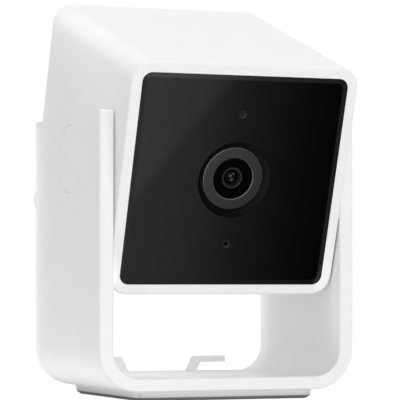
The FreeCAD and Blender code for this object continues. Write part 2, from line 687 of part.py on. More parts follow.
def bevelled_square(item, top, side, thickness, slope):
    """A square block whose sides slope inwards to its underside from just below its top."""
    drawing = new_sketch(item, "Outline", "XY_Plane", top)
    rectangle(drawing, f"({side} / 2)", f"({side} / 2)")
    pad(item, drawing, thickness, forward=False)
    fillet(item, "Sizes.plate_corner", along(Z))
    bevel = chamfer(item, slope, level_with(Z, f"{top} - {thickness}"))
    bevel.ChamferType = "Two distances"
    bevel.FlipDirection = True
    bevel.setExpression("Size2", f"{thickness} - Sizes.plate_edge")
    doc.recompute()


def screw_profile(item, gap):
    """A countersunk screw's outline in the base, widened by a gap for its hole."""
    x, z = base_screw_place()
    low = "Sizes.pad_thickness"
    neck = f"({low} + Sizes.base_screw_head_height)"
    tip = f"({low} + Sizes.base_screw_length)"
    drawing = new_sketch(item, "Screw", "XZ_Plane", z)
    polygon(drawing, [
        (x, low), (f"{x} + Sizes.base_screw_head + {gap}", low),
        (f"{x} + Sizes.base_screw_radius + {gap}", neck),
        (f"{x} + Sizes.base_screw_radius + {gap}", tip), (x, tip),
    ])
    axis = drawing.addGeometry(Part.LineSegment(V(number(x), 0, 0), V(number(x), 1, 0)), True)
    drawing.addConstraint(Sketcher.Constraint("Vertical", axis))
    tie(drawing, "DistanceY", axis, 1, axis, 2, "1")
    tie(drawing, "DistanceY", -1, 1, axis, 1, "0")
    tie(drawing, "DistanceX", -1, 1, axis, 1, x)
    return drawing


def turn_upright(item, drawing, kind):
    feature = item.newObject(f"PartDesign::{kind}", drawing.Name + kind)
    feature.Profile = drawing
    feature.ReferenceAxis = (drawing, ["Axis0"])
    feature.Angle = 360
    doc.recompute()
    return feature


def make_base():
    """Metal plate under the floor, the rubber pad under it and the screws that hold the plate."""
    plate = new_body("base_plate")
    bevelled_square(plate, BASE, "Sizes.plate_side", "Sizes.plate_thickness", "Sizes.plate_taper")
    before = plate.Tip.Shape.Volume
    hole = turn_upright(plate, screw_profile(plate, "Sizes.thread_gap"), "Groove")
    check_cut(plate, hole, before)
    mirror(plate, hole, ("YZ_Plane", "XZ_Plane"))

    rubber = new_body("base_pad")
    side = "(Sizes.plate_side - 2 * Sizes.plate_taper)"
    bevelled_square(rubber, "Sizes.pad_thickness", side, "Sizes.pad_thickness", "Sizes.pad_taper")

    screws = new_body("base_screws", several=True)
    one = turn_upright(screws, screw_profile(screws, "0"), "Revolution")
    mirror(screws, one, ("YZ_Plane", "XZ_Plane"))


# --- Pivots ----------------------------------------------------------------------------------

PIVOT_PLACE = f"placement(vector(0; {PIVOT_Y}; {PIVOT_Z}); rotation(vector(1; 0; 0); 0))"
TILTED_PIVOT = PIVOT_PLACE.replace("; 0))", "; Sizes.head_tilt))")


def side_disc(item, side, inner, outer, radius, bore=None, name="Disc"):
    """A disc across X on one side, between two distances from the middle."""
    sign = "-" if side < 0 else ""
    drawing = new_sketch(item, name, "YZ_Plane", f"{sign}{inner}")
    circle(drawing, radius)
    if bore:
        circle(drawing, bore)
    return pad(item, drawing, f"{outer} - {inner}", forward=side > 0)


def make_pivots():
    """On each side: cap, retaining washer, friction washer and the hub that carries the head."""
    for side, word in ((-1, "left"), (1, "right")):
        sign = "-" if side < 0 else ""
        cap = new_body(f"{word}_pivot_cap", PIVOT_PLACE)
        side_disc(cap, side, CAP_IN, ARM_OUT, "Sizes.cap_radius")
        chamfer(cap, "Sizes.cap_bevel", level_with(X, f"{sign}{ARM_OUT}"))

        washer = new_body(f"{word}_friction_washer", PIVOT_PLACE)
        near = f"({HALF_W} + (Sizes.side_gap - Sizes.friction_washer_thickness) / 2)"
        far = f"({near} + Sizes.friction_washer_thickness)"
        bore = "Sizes.hub_radius + Sizes.friction_washer_gap"
        side_disc(washer, side, near, far, "Sizes.friction_washer_radius", bore)

        retainer = new_body(f"{word}_retaining_washer", TILTED_PIVOT)
        bore = "Sizes.pivot_screw_radius + Sizes.thread_gap"
        side_disc(retainer, side, HUB_END, RETAINER_OUT, "Sizes.retainer_radius", bore)

        hub = new_body(f"{word}_pivot_hub", TILTED_PIVOT)
        flange = new_sketch(hub, "Flange", "YZ_Plane", f"{sign}{HUB_IN}")
        rectangle(flange, "Sizes.hub_flange / 2", "Sizes.hub_flange / 2")
        pad(hub, flange, "Sizes.hub_flange_thickness", forward=side > 0)
        side_disc(hub, side, HUB_IN, HUB_END, "Sizes.hub_radius", name="Barrel")
        thread = new_sketch(hub, "Thread", "YZ_Plane", f"{sign}{HUB_END}")
        circle(thread, "Sizes.pivot_screw_radius + Sizes.thread_gap")
        cut(hub, thread, forward=side < 0)


def make_pivot_screws():
    screws = new_body("pivot_screws", TILTED_PIVOT, several=True)
    drawing = new_sketch(screws, "Profile", "XZ_Plane", "0")
    outer = f"({RETAINER_OUT} + Sizes.pivot_screw_head_height)"
    tip = f"({RETAINER_OUT} - Sizes.pivot_screw_length)"
    polygon(drawing, [
        (tip, "0"), (outer, "0"), (outer, "Sizes.pivot_screw_head"),
        (RETAINER_OUT, "Sizes.pivot_screw_head"), (RETAINER_OUT, "Sizes.pivot_screw_radius"),
        (tip, "Sizes.pivot_screw_radius"),
    ])
    mirror(screws, turn(screws, drawing), LEFT_AND_RIGHT)


# --- Head: shell and front ---------------------------------------------------------------------

def make_shell():
    """Rounded square sleeve with a rim in front and an inward lip at the back."""
    item = new_body("head_shell", head_place())
    slab(item, HALF_W, HALF_H, FRONT, "Sizes.head_depth")
    fillet(item, "Sizes.head_corner", along(Y))
    fillet(item, "Sizes.rear_radius", level_with(Y, BACK))
    fillet(item, "Sizes.rim_round", level_with(Y, FRONT))
    cavity = new_sketch(item, "Cavity", "XZ_Plane", FRONT)
    rectangle(cavity, IN_W, IN_H)
    cut(item, cavity, f"{LIP} - {FRONT}")
    fillet(item, IN_CORNER, through(*corners(IN_W, IN_H)))
    opening = new_sketch(item, "RearOpening", "XZ_Plane", LIP)
    rectangle(opening, OPEN_W, OPEN_H)
    cut(item, opening)
    fillet(item, "Sizes.opening_corner", through(*corners(OPEN_W, OPEN_H)))
    boss = new_sketch(item, "Boss", "XZ_Plane", CHASSIS_B)
    circle(boss, "Sizes.boss_radius + Sizes.boss_root", (BOSS_X, BOSS_Z))
    mirror(item, pad(item, boss, "Sizes.boss_length"), FOUR_CORNERS)
    pilots = (
        ("BossPilot", CHASSIS_B, (BOSS_X, BOSS_Z), "Sizes.chassis_screw_length"),
        ("LipPilot", LIP, COVER_SCREW, COVER_PILOT),
    )
    for name, level, place, depth in pilots:
        drawing = new_sketch(item, name, "XZ_Plane", level)
        circle(drawing, "Sizes.screw_radius + Sizes.thread_gap", place)
        mirror(item, cut(item, drawing, depth), FOUR_CORNERS)
    hole = new_sketch(item, "PivotHole", "YZ_Plane", HALF_W)
    circle(hole, "Sizes.hub_radius + Sizes.thread_gap", ("0", "-Sizes.pivot_drop"))
    cut(item, hole, forward=False)
    middle = "Sizes.hub_flange / 2 + Sizes.fit_gap + Sizes.key_rib / 2"
    ribs = new_sketch(item, "KeyRibs", "YZ_Plane", HUB_IN)
    for sign in ("-", "+"):
        centre = ("0", f"-Sizes.pivot_drop {sign} ({middle})")
        rectangle(ribs, "Sizes.hub_flange / 2", "Sizes.key_rib / 2", centre)
    mirror(item, pad(item, ribs, "Sizes.hub_flange_thickness + Sizes.wall / 2"), LEFT_AND_RIGHT)


def make_glass():
    """Square glass with a round opening for the lens and a small hole above and below it."""
    item = new_body("front_glass", head_place())
    slab(item, DROP_W, DROP_H, GLASS_F, "Sizes.glass_thickness")
    fillet(item, DROP_CORNER, along(Y))
    bevel = chamfer(item, "Sizes.glass_bevel_drop", level_with(Y, GLASS_F))
    bevel.ChamferType = "Two distances"
    bevel.setExpression("Size2", "Sizes.glass_bevel")
    doc.recompute()
    opening = new_sketch(item, "LensOpening", "XZ_Plane", GLASS_F)
    circle(opening, "Sizes.bezel_radius + Sizes.fit_gap", ("0", "Sizes.lens_rise"))
    cut(item, opening)
    dots = new_sketch(item, "Dots", "XZ_Plane", GLASS_F)
    circle(dots, "Sizes.dot_radius", ("0", UPPER_DOT))
    circle(dots, "Sizes.dot_radius", ("0", LOWER_DOT))
    cut(item, dots)
    longest = number("8 * Sizes.dot_radius")
    small = lambda edge: edge.isClosed() and edge.Length < longest
    chamfer(item, "Sizes.dot_bevel", level_with(Y, GLASS_F), small)


def make_tape():
    """Adhesive frame between the glass's edge and the chassis."""
    item = new_body("glass_tape", head_place())
    slab(item, TAPE_W, TAPE_H, GLASS_B, "Sizes.tape_thickness")
    fillet(item, DROP_CORNER, along(Y))
    inside = new_sketch(item, "Inside", "XZ_Plane", GLASS_B)
    rectangle(inside, f"({TAPE_W} - Sizes.tape_width)", f"({TAPE_H} - Sizes.tape_width)")
    cut(item, inside)


def room(size):
    """Half the opening that leaves a small part of this size clear."""
    return f"(Sizes.{size} / 2 + Sizes.led_room)"


def make_chassis():
    """Plate behind the glass with windows for lamps and sensors and four posts for the board."""
    item = new_body("front_chassis", head_place())
    slab(item, DROP_W, DROP_H, CHASSIS_F, "Sizes.chassis_thickness")
    fillet(item, DROP_CORNER, along(Y))
    post = new_sketch(item, "Post", "XZ_Plane", CHASSIS_B)
    circle(post, "Sizes.post_radius", POST)
    mirror(item, pad(item, post, "Sizes.post_length"), FOUR_CORNERS)
    pilot = new_sketch(item, "PostPilot", "XZ_Plane", BOARD_F)
    circle(pilot, "Sizes.screw_radius + Sizes.thread_gap", POST)
    depth = "Sizes.board_screw_length - Sizes.board_thickness + Sizes.fit_gap"
    mirror(item, cut(item, pilot, depth, forward=False), FOUR_CORNERS)
    lens = new_sketch(item, "LensHole", "XZ_Plane", CHASSIS_F)
    circle(lens, "Sizes.barrel_head + 2 * Sizes.fit_gap", ("0", "Sizes.lens_rise"))
    cut(item, lens)
    windows = new_sketch(item, "LampWindows", "XZ_Plane", CHASSIS_F)
    for x_sign in ("-", ""):
        for z_sign in ("-", "+"):
            centre = (f"{x_sign}Sizes.led_x", f"Sizes.lens_rise {z_sign} Sizes.led_z")
            rectangle(windows, room("led_width"), room("led_height"), centre)
    pipe_room = "(Sizes.pipe_flange + Sizes.fit_gap)"
    rectangle(windows, pipe_room, pipe_room, ("0", UPPER_DOT))
    rectangle(windows, room("mic_width"), room("mic_height"), ("0", LOWER_DOT))
    side = room("light_sensor_side")
    rectangle(windows, side, side, LIGHT_SENSOR)
    cut(item, windows)
    place = (BOSS_X, BOSS_Z)
    sink = new_sketch(item, "ScrewSink", "XZ_Plane", CHASSIS_F)
    circle(sink, "Sizes.screw_head + Sizes.fit_gap", place)
    mirror(item, cut(item, sink, "Sizes.screw_head_height"), FOUR_CORNERS)
    hole = new_sketch(item, "ScrewHole", "XZ_Plane", CHASSIS_F)
    circle(hole, "Sizes.screw_radius + Sizes.fit_gap", place)
    mirror(item, cut(item, hole, "Sizes.chassis_thickness"), FOUR_CORNERS)

    screws = new_body("chassis_screws", head_place(), several=True)
    one = screw(
        screws, BOSS_X, BOSS_Z, CHASSIS_F, "Sizes.screw_head", "Sizes.screw_head_height",
        "Sizes.screw_radius", "Sizes.chassis_screw_length",
    )
    mirror(screws, one, FOUR_CORNERS)


def make_light_board():
    """Board behind the chassis with the lamps, the light sensor and the microphone."""
    board = new_body("light_board", head_place())
    slab(
        board, "(Sizes.led_x + Sizes.led_board_margin)",
        "(Sizes.dot_spacing + Sizes.led_board_margin)", CHASSIS_B, "Sizes.led_board_thickness",
    )
    hole = new_sketch(board, "LensHole", "XZ_Plane", CHASSIS_B)
    circle(hole, "Sizes.barrel_head + 4 * Sizes.fit_gap", ("0", "Sizes.lens_rise"))
    cut(board, hole)

    lamps = new_body("infrared_lamps", head_place("Sizes.lens_rise"), several=True)
    one = slab(
        lamps, "(Sizes.led_width / 2)", "(Sizes.led_height / 2)", LAMP_F, "Sizes.led_thickness",
        ("Sizes.led_x", "Sizes.led_z"),
    )
    mirror(lamps, one, FOUR_CORNERS)

    sensor = new_body("light_sensor", head_place())
    half = "(Sizes.light_sensor_side / 2)"
    level = f"{CHASSIS_B} - Sizes.light_sensor_thickness"
    slab(sensor, half, half, level, "Sizes.light_sensor_thickness", LIGHT_SENSOR)

    lamp = new_body("status_lamp", head_place())
    half = "(Sizes.status_led_side / 2)"
    slab(lamp, half, half, STATUS_F, "Sizes.status_led_thickness", ("0", UPPER_DOT))

    microphone = new_body("microphone", head_place())
    halves = ("(Sizes.mic_width / 2)", "(Sizes.mic_height / 2)")
    slab(microphone, *halves, MIC_F, "Sizes.mic_thickness", ("0", LOWER_DOT))


def make_dot_pieces():
    """Light pipe in the upper hole of the glass and the microphone's tube behind the lower."""
    pipe = new_body("status_light_pipe", head_place())
    disc(pipe, "Sizes.pipe_flange", GLASS_B, f"{STATUS_F} - {GLASS_B}", ("0", UPPER_DOT))
    length = "Sizes.glass_thickness - Sizes.pipe_recess"
    level = f"{GLASS_F} + Sizes.pipe_recess"
    disc(pipe, "Sizes.pipe_radius", level, length, ("0", UPPER_DOT), name="Pipe")

    gasket = new_body("microphone_gasket", head_place())
    disc(
        gasket, "Sizes.mic_gasket_radius", GLASS_B, f"{MIC_F} - {GLASS_B}",
        ("0", LOWER_DOT), "Sizes.mic_gasket_bore",
    )


# --- Head: lens ----------------------------------------------------------------------------------

def make_bezel():
    """Black funnel that leads in from the glass to the grey ring."""
    item = new_body("lens_bezel", head_place(LENS))
    throat = "Sizes.barrel_head + Sizes.fit_gap"
    drawing = new_sketch(item, "Profile", "YZ_Plane", "0")
    polygon(drawing, [
        (GLASS_F, "Sizes.bezel_mouth"), (GLASS_F, "Sizes.bezel_radius"),
        (CHASSIS_F, "Sizes.bezel_radius"), (CHASSIS_F, throat), (RING_F, throat),
    ])
    turn(item, drawing)


def make_ring():
    """Grey ring on the front of the lens barrel, bevelled on both front edges."""
    item = new_body("lens_ring", head_place(LENS))
    disc(item, "Sizes.barrel_head", RING_F, "Sizes.ring_thickness", bore="Sizes.ring_bore")
    chamfer(item, "Sizes.ring_bevel", level_with(Y, RING_F))


def make_barrel():
    """Threaded lens barrel with a small ring and a cone round the sunken front element."""
    item = new_body("lens_barrel", head_place(LENS))
    seat_b = f"({FRONT_LENS_F} + Sizes.front_lens_length)"
    rear_seat = f"({BARREL_B} - Sizes.rear_lens_seat)"
    seat_r = "(Sizes.front_lens_radius + Sizes.thread_gap)"
    drawing = new_sketch(item, "Profile", "YZ_Plane", "0")
    polygon(drawing, [
        (COLLAR_F, "Sizes.collar_radius - Sizes.collar_wall"), (COLLAR_F, "Sizes.collar_radius"),
        (RING_B, "Sizes.collar_radius"), (RING_B, "Sizes.barrel_head"),
        (HEAD_B, "Sizes.barrel_head"), (HEAD_B, "Sizes.barrel_thread"),
        (BARREL_B, "Sizes.barrel_thread"), (BARREL_B, "Sizes.rear_lens_radius"),
        (rear_seat, "Sizes.rear_lens_radius"), (rear_seat, "Sizes.lens_bore"),
        (seat_b, "Sizes.lens_bore"), (seat_b, seat_r), (f"{FRONT_LENS_F} + {DOME_DROP}", seat_r),
    ])
    turn(item, drawing)


def make_lenses():
    """Domed front element and flat rear element."""
    ball = doc.addObject("Part::Sphere", "DomeBall")
    ball.setExpression("Radius", "Sizes.front_lens_curve")
    ball.setExpression("Placement.Base.z", "Sizes.front_lens_curve")
    blank = doc.addObject("Part::Cylinder", "DomeBlank")
    blank.setExpression("Radius", "Sizes.front_lens_radius")
    blank.setExpression("Height", "Sizes.front_lens_length")
    front = doc.addObject("Part::MultiCommon", "front_lens")
    front.Label = "front_lens"
    front.Shapes = [ball, blank]
    lying = f"placement(vector(0; {FRONT_LENS_F}; 0); rotation(vector(1; 0; 0); -90))"
    front.setExpression("Placement", f"{head_place(LENS)} * {lying}")
    pieces.append(front)

    rear = new_body("rear_lens", head_place(LENS))
    level = f"{BARREL_B} - Sizes.rear_lens_seat"
    disc(rear, "Sizes.rear_lens_radius", level, "Sizes.rear_lens_thickness")


def make_holder():
    """Block on the main board that holds the barrel, with a slot for the sliding filter."""
    item = new_body("lens_holder", head_place(LENS))
    slab(item, "Sizes.holder_width / 2", "Sizes.holder_height / 2", HOLDER_F, "Sizes.holder_length")
    bore = new_sketch(item, "Thread", "XZ_Plane", HOLDER_F)
    circle(bore, "Sizes.barrel_thread + Sizes.thread_gap")
    cut(item, bore, f"{BARREL_B} + Sizes.filter_gap - {HOLDER_F}")
    window = new_sketch(item, "Window", "XZ_Plane", HOLDER_F)
    circle(window, "Sizes.web_window")
    cut(item, window)
    hollow = new_sketch(item, "SensorRoom", "XZ_Plane", BOARD_F)
    half = "(Sizes.sensor_side / 2 + Sizes.led_room)"
    rectangle(hollow, half, half)
    cut(item, hollow, "Sizes.sensor_room", forward=False)
    slot = new_sketch(item, "FilterSlot", "XZ_Plane", SLOT_F)
    run = "(Sizes.filter_travel / 2 + Sizes.filter_width / 2 + 2 * Sizes.filter_gap)"
    rectangle(slot, run, "(Sizes.filter_height / 2 + Sizes.filter_gap)")
    cut(item, slot, f"{SLOT_B} - {SLOT_F}")
    pilot = new_sketch(item, "ScrewPilot", "XZ_Plane", BOARD_F)
    circle(pilot, "Sizes.screw_radius + Sizes.thread_gap", HOLDER_SCREW)
    depth = "Sizes.holder_screw_length - Sizes.board_thickness + Sizes.fit_gap"
    mirror(item, cut(item, pilot, depth, forward=False), FOUR_CORNERS)

    screws = new_body("holder_screws", head_place(LENS), several=True)
    one = screw(
        screws, *HOLDER_SCREW, f"({BOARD_B} + Sizes.screw_head_height)", "Sizes.screw_head",
        "Sizes.screw_head_height", "Sizes.screw_radius", "Sizes.holder_screw_length",
        backwards=False,
    )
    mirror(screws, one, FOUR_CORNERS)


def make_filter():
    """Sliding frame with a clear and a tinted window, one behind the lens and one beside it."""
    item = new_body("ir_cut_filter", head_place(LENS))
    centre = "(Sizes.filter_travel / 2)"
    slab(
        item, "(Sizes.filter_width / 2)", "(Sizes.filter_height / 2)",
        f"{SLOT_F} + Sizes.filter_gap", "Sizes.filter_thickness", (centre, "0"),
    )


def make_sensor():
    item = new_body("image_sensor", head_place(LENS))
    half = "(Sizes.sensor_side / 2)"
    slab(item, half, half, SENSOR_F, "Sizes.sensor_thickness")


# --- Head: main board ------------------------------------------------------------------------

def make_main_board():
    """Main board on the chassis's posts, with the processor and its heat sink behind."""
    board = new_body("main_board", head_place())
    slab(board, BOARD_W, BOARD_H, BOARD_F, "Sizes.board_thickness")
    holes = (
        ("PostHole", POST),
        ("HolderHole", HOLDER_SCREW),
    )
    for name, (x, z) in holes:
        rise = "0" if name == "PostHole" else LENS
        drawing = new_sketch(board, name, "XZ_Plane", BOARD_F)
        for x_sign in ("-", ""):
            for z_sign in ("-", "+"):
                place = (f"{x_sign}{x}", f"{rise} {z_sign} {z}")
                circle(drawing, "Sizes.screw_radius + Sizes.fit_gap", place)
        cut(board, drawing)

    screws = new_body("board_screws", head_place(), several=True)
    one = screw(
        screws, *POST, f"({BOARD_B} + Sizes.screw_head_height)",
        "Sizes.screw_head", "Sizes.screw_head_height", "Sizes.screw_radius",
        "Sizes.board_screw_length", backwards=False,
    )
    mirror(screws, one, FOUR_CORNERS)

    processor = new_body("processor", head_place())
    half = "(Sizes.processor_side / 2)"
    slab(processor, half, half, BOARD_B, "Sizes.processor_thickness")
    soft = new_body("thermal_pad", head_place())
    level = f"{BOARD_B} + Sizes.processor_thickness"
    slab(soft, half, half, level, "Sizes.thermal_pad_thickness")


def make_heat_sink():
    """Finned plate on the processor; the fins stand upright so that warm air can rise."""
    item = new_body("heat_sink", head_place())
    half = "(Sizes.heat_sink_side / 2)"
    slab(item, half, half, SINK_F, "Sizes.heat_sink_base")
    fin = new_sketch(item, "Fin", "XZ_Plane", f"{SINK_F} + Sizes.heat_sink_base")
    first = f"(-{half} + Sizes.fin_thickness / 2)"
    rectangle(fin, "(Sizes.fin_thickness / 2)", half, (first, "0"))
    one = pad(item, fin, "Sizes.fin_height")
    row = item.newObject("PartDesign::LinearPattern", "FinRow")
    row.Originals = [one]
    row.Direction = (origin_feature(item, "X_Axis"), [""])
    row.setExpression("Length", "Sizes.heat_sink_side - Sizes.fin_thickness")
    row.setExpression("Occurrences", "Sizes.fin_count")
    item.Tip = row
    doc.recompute()


def make_antenna():
    """Flat aerial stuck under the shell's roof."""
    item = new_body("wifi_antenna", head_place())
    drawing = new_sketch(item, "Outline", "XY_Plane", f"{IN_H} - Sizes.antenna_thickness")
    rectangle(drawing, "(Sizes.antenna_width / 2)", "(Sizes.antenna_length / 2)")
    pad(item, drawing, "Sizes.antenna_thickness")


# --- Head: rear cover and what it carries ------------------------------------------------------

def make_rear_cover():
    """Cover that drops in from the front against the shell's lip, with a speaker grille,
    a hollow round the power socket, a hole for the reset button and rails for a board."""
    item = new_body("rear_cover", head_place())
    slab(item, DROP_W, DROP_H, COVER_F, "Sizes.flange_thickness")
    fillet(item, DROP_CORNER, along(Y))
    halves = (f"({OPEN_W} - Sizes.panel_gap)", f"({OPEN_H} - Sizes.panel_gap)")
    slab(item, *halves, LIP, f"{COVER_B} - {LIP}", name="Panel")
    corner = "Sizes.opening_corner - Sizes.panel_gap"
    fillet(item, corner, through(*corners(*halves)))
    chamfer(item, "Sizes.panel_bevel", level_with(Y, COVER_B))
    wall_in = "Sizes.speaker_radius + Sizes.speaker_gap"
    ring = new_sketch(item, "SpeakerWall", "XZ_Plane", COVER_F)
    circle(ring, wall_in, ("0", "Sizes.speaker_rise"))
    circle(ring, f"{wall_in} + Sizes.speaker_wall", ("0", "Sizes.speaker_rise"))
    pad(item, ring, "Sizes.speaker_length", forward=False)
    add_grille(item)
    add_socket_hollow(item)
    add_rails(item)
    screw_hole = new_sketch(item, "ScrewHole", "XZ_Plane", COVER_F)
    circle(screw_hole, "Sizes.screw_radius + Sizes.fit_gap", COVER_SCREW)
    mirror(item, cut(item, screw_hole, "Sizes.flange_thickness"), FOUR_CORNERS)

    screws = new_body("rear_cover_screws", head_place(), several=True)
    one = screw(
        screws, *COVER_SCREW, f"({COVER_F} - Sizes.screw_head_height)", "Sizes.screw_head",
        "Sizes.screw_head_height", "Sizes.screw_radius", "Sizes.cover_screw_length",
    )
    mirror(screws, one, FOUR_CORNERS)


def add_grille(item):
    """One hole in the middle and rings of six, twelve and eighteen around it."""
    centre = ("0", "Sizes.speaker_rise")
    middle = new_sketch(item, "GrilleMiddle", "XZ_Plane", COVER_F, centre)
    circle(middle, "Sizes.grille_hole")
    cut(item, middle)
    for ring in (1, 2, 3):
        drawing = new_sketch(item, f"GrilleRing{ring}", "XZ_Plane", COVER_F, centre)
        circle(drawing, "Sizes.grille_hole", (f"{ring} * Sizes.grille_pitch", "0"))
        hole = cut(item, drawing)
        pattern = item.newObject("PartDesign::PolarPattern", f"GrilleRing{ring}Holes")
        pattern.Originals = [hole]
        pattern.Axis = (drawing, ["N_Axis"])
        pattern.Angle = 360
        pattern.Occurrences = 6 * ring
        item.Tip = pattern
        doc.recompute()


def around(half):
    """Half the opening that leaves the socket clear."""
    return f"({half} + Sizes.usb_gap)"


def add_socket_hollow(item):
    """A shallow recess for the plug, the socket's opening in it and the button's hole."""
    steps = (
        ("PlugRecess", f"{COVER_B} - Sizes.plug_recess_depth", PLUG_HALF_W, PLUG_HALF_H),
        ("SocketHole", COVER_F, around(USB_HALF_W), around(USB_HALF_H)),
    )
    for name, start, half_x, half_z in steps:
        drawing = new_sketch(item, name, "XZ_Plane", start)
        slot(drawing, half_x, half_z, ("0", USB_Z))
        cut(item, drawing)
    hole = new_sketch(item, "ButtonHole", "XZ_Plane", COVER_F)
    circle(hole, "Sizes.button_radius + Sizes.button_gap", ("Sizes.button_x", BUTTON_Z))
    cut(item, hole)


def add_rails(item):
    """Two rails that carry the connector board, with a pilot hole for a screw in each."""
    drawing = new_sketch(item, "Rail", "XZ_Plane", COVER_F)
    middle = f"{IO_UNDER} - Sizes.rail_height / 2"
    rectangle(drawing, "(Sizes.rail_width / 2)", "(Sizes.rail_height / 2)", (RAIL_X, middle))
    length = f"{COVER_F} - {IO_F}"
    mirror(item, pad(item, drawing, length, forward=False), LEFT_AND_RIGHT)
    pilot = new_sketch(item, "RailPilot", "XY_Plane", IO_UNDER)
    circle(pilot, "Sizes.screw_radius + Sizes.thread_gap", (RAIL_X, IO_SCREW_Y))
    depth = "Sizes.io_screw_length - Sizes.io_thickness + Sizes.fit_gap"
    mirror(item, cut(item, pilot, depth, forward=False), LEFT_AND_RIGHT)


def make_speaker():
    """Round speaker that fires through the grille, and the foam ring in front of it."""
    item = new_body("speaker", head_place("Sizes.speaker_rise"))
    drawing = new_sketch(item, "Profile", "YZ_Plane", "0")
    rim_f = f"({SPEAKER_B} - Sizes.speaker_rim)"
    cone = f"({SPEAKER_B} - Sizes.speaker_rim / 2)"
    rim_in = "(Sizes.speaker_radius - Sizes.speaker_rim)"
    polygon(drawing, [
        (SPEAKER_F, "0"), (SPEAKER_F, "Sizes.speaker_magnet"), (rim_f, "Sizes.speaker_magnet"),
        (rim_f, "Sizes.speaker_radius"), (SPEAKER_B, "Sizes.speaker_radius"),
        (SPEAKER_B, rim_in), (cone, f"{rim_in} / 2"), (cone, "0"),
    ])
    turn(item, drawing)

    foam = new_body("speaker_gasket", head_place("Sizes.speaker_rise"))
    bore = "Sizes.speaker_radius - Sizes.speaker_gasket_width"
    disc(foam, "Sizes.speaker_radius", SPEAKER_B, "Sizes.speaker_gasket", bore=bore)


def make_connector_board():
    """Level board behind the cover with the power socket and the reset switch on it."""
    board = new_body("connector_board", head_place())
    drawing = new_sketch(board, "Outline", "XY_Plane", IO_UNDER)
    middle = f"(({IO_F} + {IO_B}) / 2)"
    rectangle(drawing, "(Sizes.io_width / 2)", "(Sizes.io_length / 2)", ("0", middle))
    pad(board, drawing, "Sizes.io_thickness")
    holes = new_sketch(board, "ScrewHoles", "XY_Plane", IO_UNDER)
    for sign in ("-", ""):
        circle(holes, "Sizes.screw_radius + Sizes.fit_gap", (f"{sign}{RAIL_X}", IO_SCREW_Y))
    cut(board, holes, "Sizes.io_thickness", forward=True)

    screws = new_body("connector_board_screws", head_place(), several=True)
    head_top = "(Sizes.io_rise + Sizes.screw_head_height)"
    tip = "(Sizes.io_rise - Sizes.io_screw_length)"
    head = new_sketch(screws, "Shank", "XY_Plane", tip)
    circle(head, "Sizes.screw_radius", (RAIL_X, IO_SCREW_Y))
    shank = pad(screws, head, f"{head_top} - {tip}")
    mirror(screws, shank, LEFT_AND_RIGHT)
    top = new_sketch(screws, "Head", "XY_Plane", "Sizes.io_rise")
    for sign in ("-", ""):
        circle(top, "Sizes.screw_head", (f"{sign}{RAIL_X}", IO_SCREW_Y))
    pad(screws, top, "Sizes.screw_head_height")

    switch = new_body("reset_switch", head_place())
    level = f"{SWITCH_B} - Sizes.switch_length"
    halves = ("(Sizes.switch_width / 2)", "(Sizes.switch_height / 2)")
    slab(switch, *halves, level, "Sizes.switch_length", ("Sizes.button_x", BUTTON_Z))


def make_socket():
    """Power socket: a rounded metal sleeve, closed at its back, with a tongue inside."""
    item = new_body("usb_socket", head_place())
    middle = ("0", USB_Z)
    start = f"({USB_B} - Sizes.usb_length)"
    sleeve = new_sketch(item, "Sleeve", "XZ_Plane", start)
    slot(sleeve, USB_HALF_W, USB_HALF_H, middle)
    pad(item, sleeve, "Sizes.usb_length")
    half_x, half_z = f"({USB_HALF_W} - Sizes.usb_wall)", f"({USB_HALF_H} - Sizes.usb_wall)"
    mouth = new_sketch(item, "Mouth", "XZ_Plane", f"{start} + Sizes.usb_end")
    slot(mouth, half_x, half_z, middle)
    cut(item, mouth)
    halves = ("(Sizes.usb_tongue_width / 2)", "(Sizes.usb_tongue_height / 2)")
    length = "Sizes.usb_length - Sizes.usb_tongue_inset"
    slab(item, *halves, start, length, middle, name="Tongue")


def make_button():
    """Reset button: a round cap with a flange that keeps it inside the cover."""
    item = new_body("reset_button", head_place(BUTTON_Z))
    drawing = new_sketch(item, "Profile", "YZ_Plane", "Sizes.button_x")
    flange_b = f"({BUTTON_F} + Sizes.button_flange_thickness)"
    face = f"({COVER_B} - Sizes.button_gap)"
    polygon(drawing, [
        (BUTTON_F, "0"), (BUTTON_F, "Sizes.button_flange"), (flange_b, "Sizes.button_flange"),
        (flange_b, "Sizes.button_radius"), (face, "Sizes.button_radius"), (face, "0"),
    ])
    turn(item, drawing)


def make_ribbon():
    """Flat ribbon between the two boards and the connectors it plugs into."""
    socket_b = f"({BOARD_B} + Sizes.connector_thickness)"
    plug_f = f"({IO_F} + Sizes.fit_gap)"
    low = "(-Sizes.ribbon_drop)"
    high = "(Sizes.io_rise + Sizes.connector_thickness / 2)"
    bend_a = f"({socket_b} + Sizes.ribbon_straight)"
    bend_b = f"({plug_f} - Sizes.ribbon_straight)"
    thick = "Sizes.ribbon_thickness"
    item = new_body("ribbon_cable", head_place())
    drawing = new_sketch(item, "Profile", "YZ_Plane", "-Sizes.ribbon_width / 2")
    polygon(drawing, [
        (socket_b, low), (bend_a, low), (bend_b, high), (plug_f, high),
        (plug_f, f"{high} + {thick}"), (bend_b, f"{high} + {thick}"),
        (bend_a, f"{low} + {thick}"), (socket_b, f"{low} + {thick}"),
    ])
    pad(item, drawing, "Sizes.ribbon_width")

    item = new_body("ribbon_connectors", head_place(), several=True)
    half = "(Sizes.connector_width / 2)"
    centre = ("0", f"{low} + {thick} / 2")
    slab(item, half, "(Sizes.connector_height / 2)", BOARD_B, "Sizes.connector_thickness", centre)
    drawing = new_sketch(item, "SecondOutline", "XY_Plane", "Sizes.io_rise")
    centre = ("0", f"{plug_f} + Sizes.connector_height / 2")
    rectangle(drawing, half, "(Sizes.connector_height / 2)", centre)
    pad(item, drawing, "Sizes.connector_thickness")


